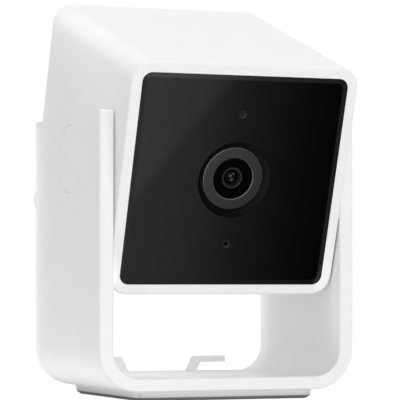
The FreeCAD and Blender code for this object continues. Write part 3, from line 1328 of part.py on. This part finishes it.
def check_pieces():
    """Stop where an object failed, or where a piece is empty or broken."""
    for item in doc.Objects:
        if {"Invalid", "Error"} & set(item.State):
            raise RuntimeError(f"{item.Label} failed: {item.State}")
    for item in pieces:
        if item.Shape.isNull() or not item.Shape.isValid() or not item.Shape.Solids:
            raise RuntimeError(f"{item.Label} is empty or not valid")


def write_pieces():
    os.makedirs("parts", exist_ok=True)
    for item in pieces:
        item.Shape.exportStep(f"parts/{item.Label}.step")


make_stand()
make_base()
make_pivots()
make_pivot_screws()
make_shell()
make_glass()
make_tape()
make_chassis()
make_light_board()
make_dot_pieces()
make_bezel()
make_ring()
make_barrel()
make_lenses()
make_holder()
make_filter()
make_sensor()
make_main_board()
make_heat_sink()
make_antenna()
make_rear_cover()
make_speaker()
make_connector_board()
make_socket()
make_button()
make_ribbon()
doc.recompute()
check_pieces()
write_pieces()
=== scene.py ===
import json
import math

import bpy
from mathutils import Euler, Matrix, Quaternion, Vector


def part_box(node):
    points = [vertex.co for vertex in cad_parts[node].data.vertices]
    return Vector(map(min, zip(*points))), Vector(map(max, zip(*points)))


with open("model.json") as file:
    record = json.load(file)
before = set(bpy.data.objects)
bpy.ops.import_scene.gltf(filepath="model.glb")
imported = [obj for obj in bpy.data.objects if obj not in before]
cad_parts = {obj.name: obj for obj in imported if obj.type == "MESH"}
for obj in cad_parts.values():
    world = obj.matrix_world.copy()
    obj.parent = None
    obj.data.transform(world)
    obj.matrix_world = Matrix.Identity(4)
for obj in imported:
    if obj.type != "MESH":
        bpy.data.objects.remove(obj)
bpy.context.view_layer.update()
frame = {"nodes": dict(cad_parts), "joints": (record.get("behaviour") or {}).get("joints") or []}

# Tilting pet camera: white head and stand, black glass, in a plain white studio.
# Metres throughout, in the CAD's frame: X right, Y from the front to the back, Z up.

MM = 0.001
NODES = frame["nodes"]
JOINTS = {joint["name"]: joint for joint in frame["joints"]}

# The outer faces of the stand, and how far the metal plate under it reaches to each side.
STAND_LOW, STAND_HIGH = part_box("stand_bracket")
LEFT, FRONT = STAND_LOW.xy
RIGHT, BACK = STAND_HIGH.xy
PLATE_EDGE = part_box("base_plate")[1].x


# --- Camera ------------------------------------------------------------------------------------

# A pinhole camera: its focal length in pixels of a square view, its place, and its turn to the
# right and upwards in degrees.
VIEW_PIXELS = 400
FOCAL_PIXELS = 2315.3
SENSOR_WIDTH = 36.0
CLIP_START = 10 * MM
CAMERA_PLACE = Vector((-195.20, -490.60, 25.08)) * MM
CAMERA_YAW = 21.917
CAMERA_PITCH = 2.109


def make_camera():
    """The camera stands to the left of the object, near the floor, and looks slightly up."""
    data = bpy.data.cameras.new("camera")
    data.sensor_width = SENSOR_WIDTH
    data.lens = FOCAL_PIXELS * SENSOR_WIDTH / VIEW_PIXELS
    data.clip_start = CLIP_START
    camera = bpy.data.objects.new("camera", data)
    camera.location = CAMERA_PLACE
    camera.rotation_euler = (math.radians(90 + CAMERA_PITCH), 0, math.radians(-CAMERA_YAW))
    bpy.context.scene.collection.objects.link(camera)
    bpy.context.scene.camera = camera


# --- Material helpers ----------------------------------------------------------------------------

def opaque(tone):
    """A grey or a colour as the four numbers that a colour socket takes."""
    colour = tone if isinstance(tone, tuple) else (tone, tone, tone)
    return (*colour, 1)


class Look:
    """One material's node tree, with short calls for the nodes that the looks share."""

    def __init__(self, name, **values):
        self.material = bpy.data.materials.new(name)
        self.material.use_nodes = True
        self.tree = self.material.node_tree
        self.shader = self.tree.nodes["Principled BSDF"]
        for label, value in values.items():
            self.shader.inputs[label.replace("_", " ")].default_value = value
        self.place = self.add("ShaderNodeTexCoord").outputs["Object"]

    def add(self, kind, **settings):
        node = self.tree.nodes.new(kind)
        for name, value in settings.items():
            setattr(node, name, value)
        return node

    def link(self, source, target):
        self.tree.links.new(source, target)

    def split(self, vector):
        """The X, Y and Z of a vector."""
        node = self.add("ShaderNodeSeparateXYZ")
        self.link(vector, node.inputs[0])
        return node.outputs

    def noise(self, scale, detail=2, stretch=(1, 1, 1)):
        """Noise over the object, scale in cells per metre, stretched along the axes."""
        mapping = self.add("ShaderNodeMapping")
        mapping.inputs["Scale"].default_value = stretch
        self.link(self.place, mapping.inputs["Vector"])
        node = self.add("ShaderNodeTexNoise")
        node.inputs["Scale"].default_value = scale
        node.inputs["Detail"].default_value = detail
        self.link(mapping.outputs[0], node.inputs["Vector"])
        return node.outputs["Fac"]

    def ramp(self, source, *stops):
        """A colour ramp; each stop is a position and a grey or a colour."""
        node = self.add("ShaderNodeValToRGB")
        points = node.color_ramp.elements
        while len(points) < len(stops):
            points.new(0.5)
        for point, (position, tone) in zip(points, stops):
            point.position = position
            point.color = opaque(tone)
        self.link(source, node.inputs["Fac"])
        return node.outputs["Color"]

    def spread(self, source, first, last, start=0.0, end=1.0, soft=False):
        """Go from first to last while the source goes from start to end."""
        node = self.add("ShaderNodeMapRange")
        node.interpolation_type = "SMOOTHSTEP" if soft else "LINEAR"
        node.inputs["From Min"].default_value = start
        node.inputs["From Max"].default_value = end
        node.inputs["To Min"].default_value = first
        node.inputs["To Max"].default_value = last
        self.link(source, node.inputs["Value"])
        return node.outputs["Result"]

    def maths(self, operation, *values):
        """A maths node; each value is a number or another node's output."""
        node = self.add("ShaderNodeMath", operation=operation)
        for socket, value in zip(node.inputs, values):
            if isinstance(value, (int, float)):
                socket.default_value = value
            else:
                self.link(value, socket)
        return node.outputs[0]

    def line(self, source, start, slope):
        """A value that is start where the source is nought and changes evenly with it."""
        return self.maths("MULTIPLY_ADD", source, slope, start)

    def colour(self, source, *stops):
        self.link(self.ramp(source, *stops), self.shader.inputs["Base Color"])

    def mix_in(self, share, tone):
        """Mix another colour into the base colour by a share."""
        base = self.shader.inputs["Base Color"]
        mix = self.add("ShaderNodeMix", data_type="RGBA")
        self.link(base.links[0].from_socket, mix.inputs["A"])
        self.link(share, mix.inputs["Factor"])
        mix.inputs["B"].default_value = opaque(tone)
        self.link(mix.outputs["Result"], base)

    def roughness(self, source, low, high):
        self.link(self.spread(source, low, high), self.shader.inputs["Roughness"])

    def bump(self, source, height):
        """Bump whose full range is a height in metres."""
        node = self.add("ShaderNodeBump")
        node.inputs["Distance"].default_value = height
        self.link(source, node.inputs["Height"])
        self.link(node.outputs["Normal"], self.shader.inputs["Normal"])


# The head's own frame: its middle is a little above the pivot, X is level, and Y runs back along
# the axis of the lens.
HEAD_TILT = math.radians(18.75)
HEAD_RISE = 2.31 * MM
HEAD_TURN = Euler((-HEAD_TILT, 0, 0))
PIVOT = Vector(JOINTS["head_tilt"]["pos_m"])
HEAD_SHIFT = -(HEAD_TURN.to_matrix() @ PIVOT) - Vector((0, 0, HEAD_RISE))

# The axis of the lens is this far above the head's middle.
LENS_HEIGHT = 0.3 * MM


def head_parts(look):
    """X, depth and height from the head's middle, in the head's own frame."""
    turn = look.add("ShaderNodeMapping")
    turn.inputs["Rotation"].default_value = HEAD_TURN
    turn.inputs["Location"].default_value = HEAD_SHIFT
    look.link(look.place, turn.inputs["Vector"])
    return look.split(turn.outputs[0])


def radius_about(look, parts, up, across=0.0):
    """Distance from a line along the head's depth, this far up and across from its middle."""
    side = look.maths("SUBTRACT", parts[0], across)
    rise = look.maths("SUBTRACT", parts[2], up)
    squares = look.maths("MULTIPLY", rise, rise)
    return look.maths("SQRT", look.maths("MULTIPLY_ADD", side, side, squares))


def band(look, source, low, high, fade):
    """One between low and high and nought outside, with ends that fade over a short way."""
    up = look.spread(source, 0.0, 1.0, low - fade / 2, low + fade / 2, soft=True)
    down = look.spread(source, 1.0, 0.0, high - fade / 2, high + fade / 2, soft=True)
    return look.maths("MULTIPLY", up, down)


def lens_rings(look, reach, waver, stops):
    """Colour in rings about the lens's axis, each stop a radius and a grey.

    The reach is a radius outside them all, and waver is how far they stray; all are in mm.
    """
    away = radius_about(look, head_parts(look), LENS_HEIGHT)
    share = look.maths("MULTIPLY", away, 1 / (reach * MM))
    worn = look.spread(look.noise(900, detail=3), -waver / reach, waver / reach)
    shares = [(radius / reach, tone) for radius, tone in stops]
    look.colour(look.maths("ADD", share, worn), *shares)


# --- Materials ---------------------------------------------------------------------------------

def white_look(name):
    """Moulded white plastic with a fine grain."""
    look = Look(name, Specular_IOR_Level=0.4)
    drift = look.noise(60, detail=3)
    look.colour(drift, (0.3, (0.885, 0.885, 0.888)), (0.7, (0.90, 0.90, 0.902)))
    look.roughness(look.noise(900, detail=4), 0.36, 0.48)
    look.bump(look.noise(5200), 0.006 * MM)
    return look


def white_plastic():
    return white_look("white_plastic").material


# Half the width and height of the head's front opening, and the depths between which its walls
# are bonded to the glass; there they get painted shade, black, for the dark gap around the glass.
OPENING = (24.09 * MM, 23.79 * MM)
GAP_SHADE_DEPTHS = (-24.01 * MM, -22.50 * MM)


def shell_plastic():
    """White plastic with painted shade: black on the opening's inner walls, for the gap by the
    glass.
    """
    look = white_look("shell_plastic")
    parts = head_parts(look)
    tests = (
        look.maths("LESS_THAN", look.maths("ABSOLUTE", parts[0]), OPENING[0]),
        look.maths("LESS_THAN", look.maths("ABSOLUTE", parts[2]), OPENING[1]),
        look.maths("GREATER_THAN", parts[1], GAP_SHADE_DEPTHS[0]),
        look.maths("LESS_THAN", parts[1], GAP_SHADE_DEPTHS[1]),
    )
    inside = 1.0
    for test in tests:
        inside = look.maths("MULTIPLY", test, inside)
    # Painted shade: the walls beside the glass's edge are made black, for the dark gap there.
    look.mix_in(inside, (0.004, 0.004, 0.0045))
    return look.material


def plate_metal():
    """Satin metal with a fine grain."""
    look = Look("plate_metal", Metallic=1.0)
    grain = look.noise(4200, detail=3, stretch=(1, 1, 6))
    look.colour(grain, (0.3, (0.62, 0.62, 0.625)), (0.7, (0.71, 0.71, 0.715)))
    look.roughness(look.noise(2600, detail=3), 0.28, 0.42)
    look.bump(grain, 0.004 * MM)
    return look.material


def pad_rubber():
    look = Look("pad_rubber")
    look.colour(look.noise(700, detail=4), (0.3, 0.17), (0.75, 0.21))
    look.roughness(look.noise(300, detail=3), 0.7, 0.9)
    look.bump(look.noise(4000, detail=3), 0.02 * MM)
    return look.material


# The glass has a small hole this far above and below the lens. Each has a printed ring between
# these radii, with edges that fade over a short way, and the ring is duller than the glass.
DOT_REACH = 14.7 * MM
DOT_RING = (0.48 * MM, 0.84 * MM)
DOT_FADE = 0.1 * MM
DOT_DULLNESS = 0.45


def black_glass():
    """Black glass whose two small holes have a paler printed ring."""
    look = Look("black_glass", IOR=1.5)
    parts = head_parts(look)
    rings = []
    for reach in (DOT_REACH, -DOT_REACH):
        away = radius_about(look, parts, LENS_HEIGHT + reach)
        rings.append(band(look, away, *DOT_RING, DOT_FADE))
    ring = look.maths("ADD", *rings)
    drift = look.noise(25)
    look.colour(drift, (0.2, (0.0010, 0.0010, 0.0013)), (0.8, (0.0018, 0.0018, 0.0022)))
    look.mix_in(ring, (0.007, 0.007, 0.0073))
    polish = look.spread(look.noise(120, detail=4), 0.03, 0.07)
    dull = look.maths("MULTIPLY_ADD", ring, DOT_DULLNESS, polish)
    look.link(dull, look.shader.inputs["Roughness"])
    return look.material


def matt_grain(look):
    """The fine matt surface of moulded black plastic."""
    look.roughness(look.noise(800, detail=3), 0.42, 0.58)
    look.bump(look.noise(4000), 0.008 * MM)


def black_plastic():
    look = Look("black_plastic", Specular_IOR_Level=0.1)
    look.colour(look.noise(500, detail=3), (0.3, 0.002), (0.7, 0.004))
    matt_grain(look)
    return look.material


# The funnel around the lens is painted paler over this width across the head, as painted light.
PAINTED_LIGHT_WIDTH = 20 * MM


def funnel_plastic():
    """Matt black plastic, a little paler on the side that faces the room: painted light on its lit
    wall.
    """
    look = Look("funnel_plastic", Specular_IOR_Level=0.03)
    # Painted light: the colour grows paler towards the head's right.
    across = look.line(head_parts(look)[0], 0.5, 1 / PAINTED_LIGHT_WIDTH)
    worn = look.spread(look.noise(500, detail=3), -0.05, 0.05)
    look.colour(look.maths("ADD", across, worn), (0.15, 0.0012), (0.55, 0.003), (0.95, 0.011))
    matt_grain(look)
    return look.material


def barrel_metal():
    """Blackened metal, paler on the small ring, and with painted light down the cone around the
    front element.
    """
    look = Look("barrel_metal", Specular_IOR_Level=0.02)
    # From 1.50 to 2.01 mm the cone is painted paler, as painted light on its lit wall; 2.07 to
    # 2.31 mm is the small ring.
    stops = (
        (1.50, 0.004), (1.68, 0.010), (2.01, 0.018), (2.07, 0.036), (2.31, 0.036),
        (2.355, 0.0006), (3.00, 0.0009),
    )
    lens_rings(look, reach=3.0, waver=0.036, stops=stops)
    look.roughness(look.noise(900, detail=3), 0.4, 0.6)
    return look.material


def ring_metal():
    """Dark metal ring whose two bevelled edges are cut bright."""
    look = Look("ring_metal", Metallic=1.0)
    stops = ((4.68, 0.20), (4.768, 0.084), (5.84, 0.088), (6.928, 0.084), (7.008, 0.50))
    lens_rings(look, reach=8.0, waver=0.012, stops=stops)
    look.roughness(look.noise(1500, detail=3), 0.3, 0.4)
    return look.material


# Painted highlights on the lens, which stand in for the reflections of the lamps and the floor:
# how far across and up from its axis each is and how far it reaches, in mm, and how strong it is.
LENS_PAINTED_HIGHLIGHTS = (
    (0.44, 0.78, 0.34, 0.8),
    (-0.27, 0.36, 0.40, 1.0),
    (0.22, -0.55, 0.70, 0.4),
)


def painted_highlight_at(look, parts, across, up, reach, strength):
    """A soft round painted highlight at this place, in mm from the lens's axis."""
    away = radius_about(look, parts, LENS_HEIGHT + up * MM, across * MM)
    return look.spread(away, strength, 0.0, 0.0, reach * MM, soft=True)


def clear_lens():
    """Dark coated glass with painted highlights in its colour, standing in for reflections."""
    look = Look("clear_lens", Roughness=0.06, IOR=1.15)
    parts = head_parts(look)
    high, middle, low = [painted_highlight_at(look, parts, *glow) for glow in LENS_PAINTED_HIGHLIGHTS]
    # Painted highlights: the three soft spots lighten the lens's colour.
    glow = look.maths("ADD", look.maths("MAXIMUM", high, middle), low)
    look.colour(glow, (0.0, (0.0012, 0.0012, 0.002)), (1.0, (0.15, 0.15, 0.16)))
    return look.material


def steel():
    look = Look("steel", Metallic=1.0)
    grain = look.noise(3000, detail=3, stretch=(1, 5, 1))
    look.colour(grain, (0.3, (0.52, 0.525, 0.53)), (0.75, (0.66, 0.665, 0.67)))
    look.roughness(grain, 0.25, 0.42)
    return look.material


def grey_plastic():
    look = Look("grey_plastic")
    look.colour(look.noise(400, detail=3), (0.3, 0.25), (0.7, 0.28))
    look.roughness(look.noise(900, detail=3), 0.4, 0.52)
    look.bump(look.noise(5000), 0.006 * MM)
    return look.material


def slip_plastic():
    """The smooth, slightly warmer plastic of the washers and hubs that slide."""
    look = Look("slip_plastic")
    drift = look.noise(300, detail=3)
    look.colour(drift, (0.3, (0.66, 0.66, 0.63)), (0.7, (0.72, 0.72, 0.69)))
    look.roughness(look.noise(700, detail=3), 0.34, 0.5)
    return look.material


def dark_foam():
    look = Look("dark_foam", Roughness=0.9)
    cells = look.noise(3500, detail=4)
    look.colour(cells, (0.3, 0.012), (0.75, 0.035))
    look.bump(cells, 0.06 * MM)
    return look.material


def circuit_board():
    look = Look("circuit_board", Coat_Weight=0.3)
    weave = look.noise(900)
    look.colour(weave, (0.35, (0.010, 0.075, 0.035)), (0.7, (0.018, 0.11, 0.05)))
    look.roughness(look.noise(400, detail=3), 0.3, 0.45)
    return look.material


def chip():
    look = Look("chip", Roughness=0.55)
    look.colour(look.noise(1500, detail=3), (0.3, 0.012), (0.7, 0.02))
    look.bump(look.noise(5000, detail=3), 0.01 * MM)
    return look.material


def light_pipe():
    look = Look("light_pipe", Roughness=0.15, IOR=1.5)
    look.colour(look.noise(500), (0.3, 0.005), (0.7, 0.008))
    return look.material


def filter_glass():
    look = Look("filter_glass", Roughness=0.05)
    look.colour(look.noise(200), (0.3, (0.10, 0.22, 0.20)), (0.7, (0.12, 0.26, 0.24)))
    return look.material


def copper_film():
    look = Look("copper_film")
    drift = look.noise(700, detail=3)
    look.colour(drift, (0.3, (0.42, 0.22, 0.05)), (0.7, (0.50, 0.28, 0.08)))
    look.roughness(look.noise(900, detail=3), 0.32, 0.5)
    return look.material


MATERIALS = {
    white_plastic: ("stand_bracket", "left_pivot_cap", "right_pivot_cap", "rear_cover"),
    shell_plastic: ("head_shell",),
    grey_plastic: ("reset_button",),
    plate_metal: ("base_plate", "heat_sink"),
    pad_rubber: ("base_pad",),
    black_glass: ("front_glass",),
    black_plastic: ("front_chassis", "lens_holder", "reset_switch"),
    funnel_plastic: ("lens_bezel",),
    barrel_metal: ("lens_barrel",),
    ring_metal: ("lens_ring",),
    clear_lens: ("front_lens", "rear_lens"),
    steel: (
        "base_screws", "pivot_screws", "left_retaining_washer", "right_retaining_washer",
        "chassis_screws", "holder_screws", "board_screws", "rear_cover_screws",
        "connector_board_screws", "usb_socket",
    ),
    slip_plastic: (
        "left_friction_washer", "right_friction_washer", "left_pivot_hub", "right_pivot_hub",
    ),
    dark_foam: ("glass_tape", "microphone_gasket", "speaker_gasket", "thermal_pad"),
    circuit_board: ("light_board", "main_board", "connector_board"),
    chip: (
        "infrared_lamps", "light_sensor", "status_lamp", "microphone", "image_sensor",
        "processor", "ribbon_connectors", "speaker",
    ),
    light_pipe: ("status_light_pipe",),
    filter_glass: ("ir_cut_filter",),
    copper_film: ("wifi_antenna", "ribbon_cable"),
}


def dress_nodes():
    """Give every CAD node its material."""
    for make, names in MATERIALS.items():
        material = make()
        for name in names:
            for slot in NODES[name].material_slots:
                slot.material = material


# Points closer than the gap are joined first, so that the edges run on from face to face.
WELD_GAP = 0.002 * MM
EDGE_WIDTH = 0.08 * MM
EDGE_SEGMENTS = 3
SHARP_ANGLE = math.radians(40)


def soften_ring():
    """Round the sharp edges of the metal ring around the lens, which catch the light."""
    ring = NODES["lens_ring"]
    weld = ring.modifiers.new("weld", "WELD")
    weld.merge_threshold = WELD_GAP
    bevel = ring.modifiers.new("edges", "BEVEL")
    bevel.width = EDGE_WIDTH
    bevel.segments = EDGE_SEGMENTS
    bevel.limit_method = "ANGLE"
    bevel.angle_limit = SHARP_ANGLE
    bevel.use_clamp_overlap = False
    bevel.loop_slide = False


# --- Studio --------------------------------------------------------------------------------------

# How strongly the background lights the object, the floor's size and the grey it has for other
# light, and what it shows: a grey that takes the shadow, and a glow on top of that.
WORLD_LIGHT = 0.466
FLOOR_SIZE = 6.0
FLOOR_COLOUR = 0.86
SHADOWED_GREY = 0.38
FLOOR_GLOW = 0.86


def background_switch(tree, plain, seen):
    """Show one shader to the camera and in gloss and glass, and use the other for light."""
    path = tree.nodes.new("ShaderNodeLightPath")
    shown = path.outputs["Is Camera Ray"]
    for label in ("Is Glossy Ray", "Is Transmission Ray"):
        either = tree.nodes.new("ShaderNodeMath")
        either.operation = "MAXIMUM"
        tree.links.new(shown, either.inputs[0])
        tree.links.new(path.outputs[label], either.inputs[1])
        shown = either.outputs[0]
    mix = tree.nodes.new("ShaderNodeMixShader")
    tree.links.new(shown, mix.inputs["Fac"])
    tree.links.new(plain, mix.inputs[1])
    tree.links.new(seen, mix.inputs[2])
    return mix.outputs[0]


def make_world():
    """A plain white background, whose even light on the object is dimmer than it looks."""
    world = bpy.data.worlds.new("studio")
    bpy.context.scene.world = world
    world.use_nodes = True
    tree = world.node_tree
    light = tree.nodes["Background"]
    white = tree.nodes.new("ShaderNodeBackground")
    for sky, strength in ((light, WORLD_LIGHT), (white, 1.0)):
        sky.inputs["Color"].default_value = opaque(1.0)
        sky.inputs["Strength"].default_value = strength
    shown = background_switch(tree, light.outputs[0], white.outputs[0])
    tree.links.new(shown, tree.nodes["World Output"].inputs["Surface"])


def make_quad(name, corners, height, material):
    """A level four-sided piece with these corners in X and Y."""
    mesh = bpy.data.meshes.new(name)
    mesh.from_pydata([(x, y, height) for x, y in corners], [], [(0, 1, 2, 3)])
    mesh.materials.append(material)
    quad = bpy.data.objects.new(name, mesh)
    bpy.context.scene.collection.objects.link(quad)
    return quad


def make_floor():
    """Pale floor: it takes the object's shadow, and elsewhere it is as white as the background."""
    look = Look("floor", Roughness=0.9, Specular_IOR_Level=0.0, Base_Color=opaque(FLOOR_COLOUR))
    shade = look.add("ShaderNodeBsdfDiffuse")
    shade.inputs["Color"].default_value = opaque(SHADOWED_GREY)
    glow = look.add("ShaderNodeEmission")
    glow.inputs["Strength"].default_value = FLOOR_GLOW
    both = look.add("ShaderNodeAddShader")
    look.link(shade.outputs[0], both.inputs[0])
    look.link(glow.outputs[0], both.inputs[1])
    shown = background_switch(look.tree, look.shader.outputs[0], both.outputs[0])
    look.link(shown, look.tree.nodes["Material Output"].inputs["Surface"])

    half = FLOOR_SIZE / 2
    corners = [(-half, -half), (half, -half), (half, half), (-half, half)]
    floor = make_quad("floor", corners, 0.0, look.material)


def glowing_look(name, **values):
    """A black material that shows its glow alone."""
    return Look(name, Roughness=1.0, Specular_IOR_Level=0.0, Base_Color=opaque(0.0), **values)


def show_in_gloss_alone(card):
    """Hide a card from the camera and from everything but gloss."""
    card.visible_camera = False
    card.visible_diffuse = False
    card.visible_shadow = False
    card.visible_transmission = False


# Cards lie on the floor in front of the object, and the glass mirrors them. Each has its near
# and far edge, where it starts and ends across the glass's image on the floor (about 0 at the
# left edge and 1 at the right), and its brightness at places across that image.
CARD_HEIGHT = 1 * MM
CARDS = {
    "card": dict(
        near=-0.045, far=-0.150, start=-0.12, end=1.07,
        tones=(
            (0.00, 0.55), (0.16, 0.51), (0.32, 0.43), (0.40, 0.36), (0.50, 0.25), (0.56, 0.19),
            (0.66, 0.14), (0.77, 0.075), (0.88, 0.035), (1.00, 0.012),
        ),
    ),
    "card_near": dict(
        near=-0.028, far=-0.045, start=-0.12, end=1.07,
        tones=((0.0, 0.52), (0.4, 0.40), (0.7, 0.24), (1.0, 0.12)),
    ),
    "card_far": dict(
        near=-0.190, far=-0.340, start=-0.3, end=1.7,
        tones=((0.0, 0.92), (0.2, 0.76), (0.4, 0.50), (0.55, 0.32), (0.7, 0.24), (0.9, 0.20)),
    ),
    "card_left": dict(
        near=-0.028, far=-0.190, start=-0.8, end=-0.12, tones=((0.0, 0.42), (1.0, 0.42)),
    ),
    "card_right": dict(
        near=-0.028, far=-0.190, start=1.07, end=2.3, tones=((0.0, 0.28), (1.0, 0.28)),
    ),
}

# The image's left edge and its width, and the place across it of a step in brightness, each as
# its value where Y is nought and its change along Y.
IMAGE_LEFT = (-0.0299, -0.376)
IMAGE_WIDTH = (0.0468, -0.094)
STEP_PLACE = (-0.523, -6.82)
STEP_SOFTNESS = 0.035
STEP_GAIN = 1.5


def image_place(y, share):
    """X of a place across the glass's image on the floor."""
    left = IMAGE_LEFT[0] + IMAGE_LEFT[1] * y
    width = IMAGE_WIDTH[0] + IMAGE_WIDTH[1] * y
    return left + share * width


def make_card(name, near, far, start, end, tones):
    """A card whose brightness falls across the image, with a soft step on a diagonal."""
    look = glowing_look(name)
    parts = look.split(look.place)
    from_left = look.maths("SUBTRACT", parts[0], look.line(parts[1], *IMAGE_LEFT))
    share = look.maths("DIVIDE", from_left, look.line(parts[1], *IMAGE_WIDTH))
    look.link(look.ramp(share, *tones), look.shader.inputs["Emission Color"])
    past = look.maths("SUBTRACT", look.line(parts[1], *STEP_PLACE), share)
    gain = look.spread(past, 1.0, STEP_GAIN, -STEP_SOFTNESS, STEP_SOFTNESS, soft=True)
    look.link(gain, look.shader.inputs["Emission Strength"])

    ends = ((near, start), (near, end), (far, end), (far, start))
    corners = [(image_place(y, share), y) for y, share in ends]
    card = make_quad(name, corners, CARD_HEIGHT, look.material)
    show_in_gloss_alone(card)


# The metal plate mirrors the floor under the stand, which is dark close to the plate: where the
# shade starts and ends to each side, its front and back edge, and its brightness outwards and
# from front to back.
SHADE_HEIGHT = 0.6 * MM
SHADE_REACH = (PLATE_EDGE - 0.45 * MM, PLATE_EDGE + 4.95 * MM)
SHADE_SPAN = (FRONT - 5 * MM, BACK + 22.5 * MM)
SHADE_OUT = ((0.0, 0.62), (0.25, 0.92), (0.6, 1.15), (1.0, 1.25))
SHADE_BACK = ((0.0, 1.0), (0.09, 1.0), (0.16, 0.78), (1.0, 0.52))


def make_shade():
    """A card around the pad, seen in gloss alone, that is dark close to the plate."""
    look = glowing_look("shade", Emission_Strength=1.0)
    parts = look.split(look.place)
    aside = look.maths("ABSOLUTE", parts[0])
    away = look.maths("MAXIMUM", aside, look.maths("ABSOLUTE", parts[1]))
    out = look.ramp(look.spread(away, 0.0, 1.0, *SHADE_REACH), *SHADE_OUT)
    back = look.ramp(look.spread(parts[1], 0.0, 1.0, *SHADE_SPAN), *SHADE_BACK)
    both = look.add("ShaderNodeMix", data_type="RGBA", blend_type="MULTIPLY")
    both.inputs["Factor"].default_value = 1.0
    look.link(out, both.inputs["A"])
    look.link(back, both.inputs["B"])
    look.link(both.outputs["Result"], look.shader.inputs["Emission Color"])

    side = SHADE_REACH[1]
    near, far = SHADE_SPAN
    corners = [(-side, near), (side, near), (side, far), (-side, far)]
    card = make_quad("shade", corners, SHADE_HEIGHT, look.material)
    show_in_gloss_alone(card)


# Rectangular lamps: place, width and height, power in watts, and the way they face where that
# isn't towards the middle of the object. The small ones, close to it, stand for the light that
# the floor and the pale walls throw into its gaps.
MIDDLE = Vector((0, 0, 0.04))
UP = (0, 0, 1)
DOWN = (0, 0, -1)
RIGHTWARDS = (1, 0, 0)
LAMPS = {
    "key": dict(place=(-0.10, 0.12, 1.10), size=(0.7, 0.7), power=2.31),
    "key_left": dict(place=(-0.45, 0.05, 1.00), size=(0.6, 0.6), power=1.60),
    "front": dict(place=(-0.10, -1.10, 0.10), size=(0.9, 0.4), power=3.9),
    "front_high": dict(place=(0.10, -0.90, 0.60), size=(0.6, 0.4), power=1.95),
    "inside": dict(
        place=(LEFT + 3.8 * MM, 0, 33 * MM), size=(0.040, 0.016), power=0.0025,
        facing=RIGHTWARDS,
    ),
    "floor_top": dict(
        place=(-8 * MM, 0, 13 * MM), size=(0.026, 0.030), power=0.0007, facing=DOWN,
    ),
    "low_left": dict(
        place=(LEFT - 5 * MM, 0, 0.6 * MM), size=(0.006, 0.050), power=0.0008, facing=UP,
    ),
    "low_near": dict(
        place=(LEFT + 3.8 * MM, 0, 0.8 * MM), size=(0.005, 0.046), power=0.00018, facing=UP,
    ),
    "gap_left": dict(
        place=(LEFT + 3.25 * MM, FRONT + 1 * MM, 50.5 * MM), size=(0.002, 0.024),
        power=0.000018, facing=RIGHTWARDS,
    ),
    "low_front": dict(
        place=(0, FRONT - 19.5 * MM, 5 * MM), size=(0.060, 0.004), power=0.0007,
        facing=(0, 22, -1),
    ),
    "arm_back": dict(
        place=(LEFT - 2.5 * MM, BACK + 3 * MM, 34 * MM), size=(0.001, 0.056), power=0.00063,
        facing=(2.5, -4.3, 0),
    ),
    "inside_back": dict(
        place=(RIGHT - 6.5 * MM, BACK + 4 * MM, 26 * MM), size=(0.001, 0.036), power=0.0007,
        facing=(3, -8.5, 0),
    ),
    "inside_front": dict(
        place=(RIGHT - 7.5 * MM, FRONT + 1.8 * MM, 29 * MM), size=(0.003, 0.036),
        power=0.00016, facing=RIGHTWARDS,
    ),
    "head_left": dict(
        place=(LEFT - 5.5 * MM, -6 * MM, 84 * MM), size=(0.056, 0.002), power=0.0006,
        facing=(9.1, 0.8, -6.5), roll=-HEAD_TILT,
    ),
}
SEEN_IN_GLOSS = ("key",)


def make_lamp(name, place, size, power, facing=None, roll=0.0):
    """A lamp that the camera doesn't see, turned about its own axis by the roll."""
    data = bpy.data.lights.new(name, "AREA")
    data.shape = "RECTANGLE"
    data.size, data.size_y = size
    data.energy = power
    lamp = bpy.data.objects.new(name, data)
    lamp.visible_camera = False
    lamp.visible_glossy = name in SEEN_IN_GLOSS
    lamp.location = place
    ahead = Vector(facing) if facing else MIDDLE - Vector(place)
    turn = ahead.to_track_quat("-Z", "Y") @ Quaternion((0, 0, 1), roll)
    lamp.rotation_euler = turn.to_euler()
    bpy.context.scene.collection.objects.link(lamp)


def make_studio():
    make_world()
    make_floor()
    for name, values in CARDS.items():
        make_card(name, **values)
    make_shade()
    for name, values in LAMPS.items():
        make_lamp(name, **values)


bpy.context.scene.view_settings.view_transform = "Standard"
make_camera()
dress_nodes()
soften_ring()
make_studio()
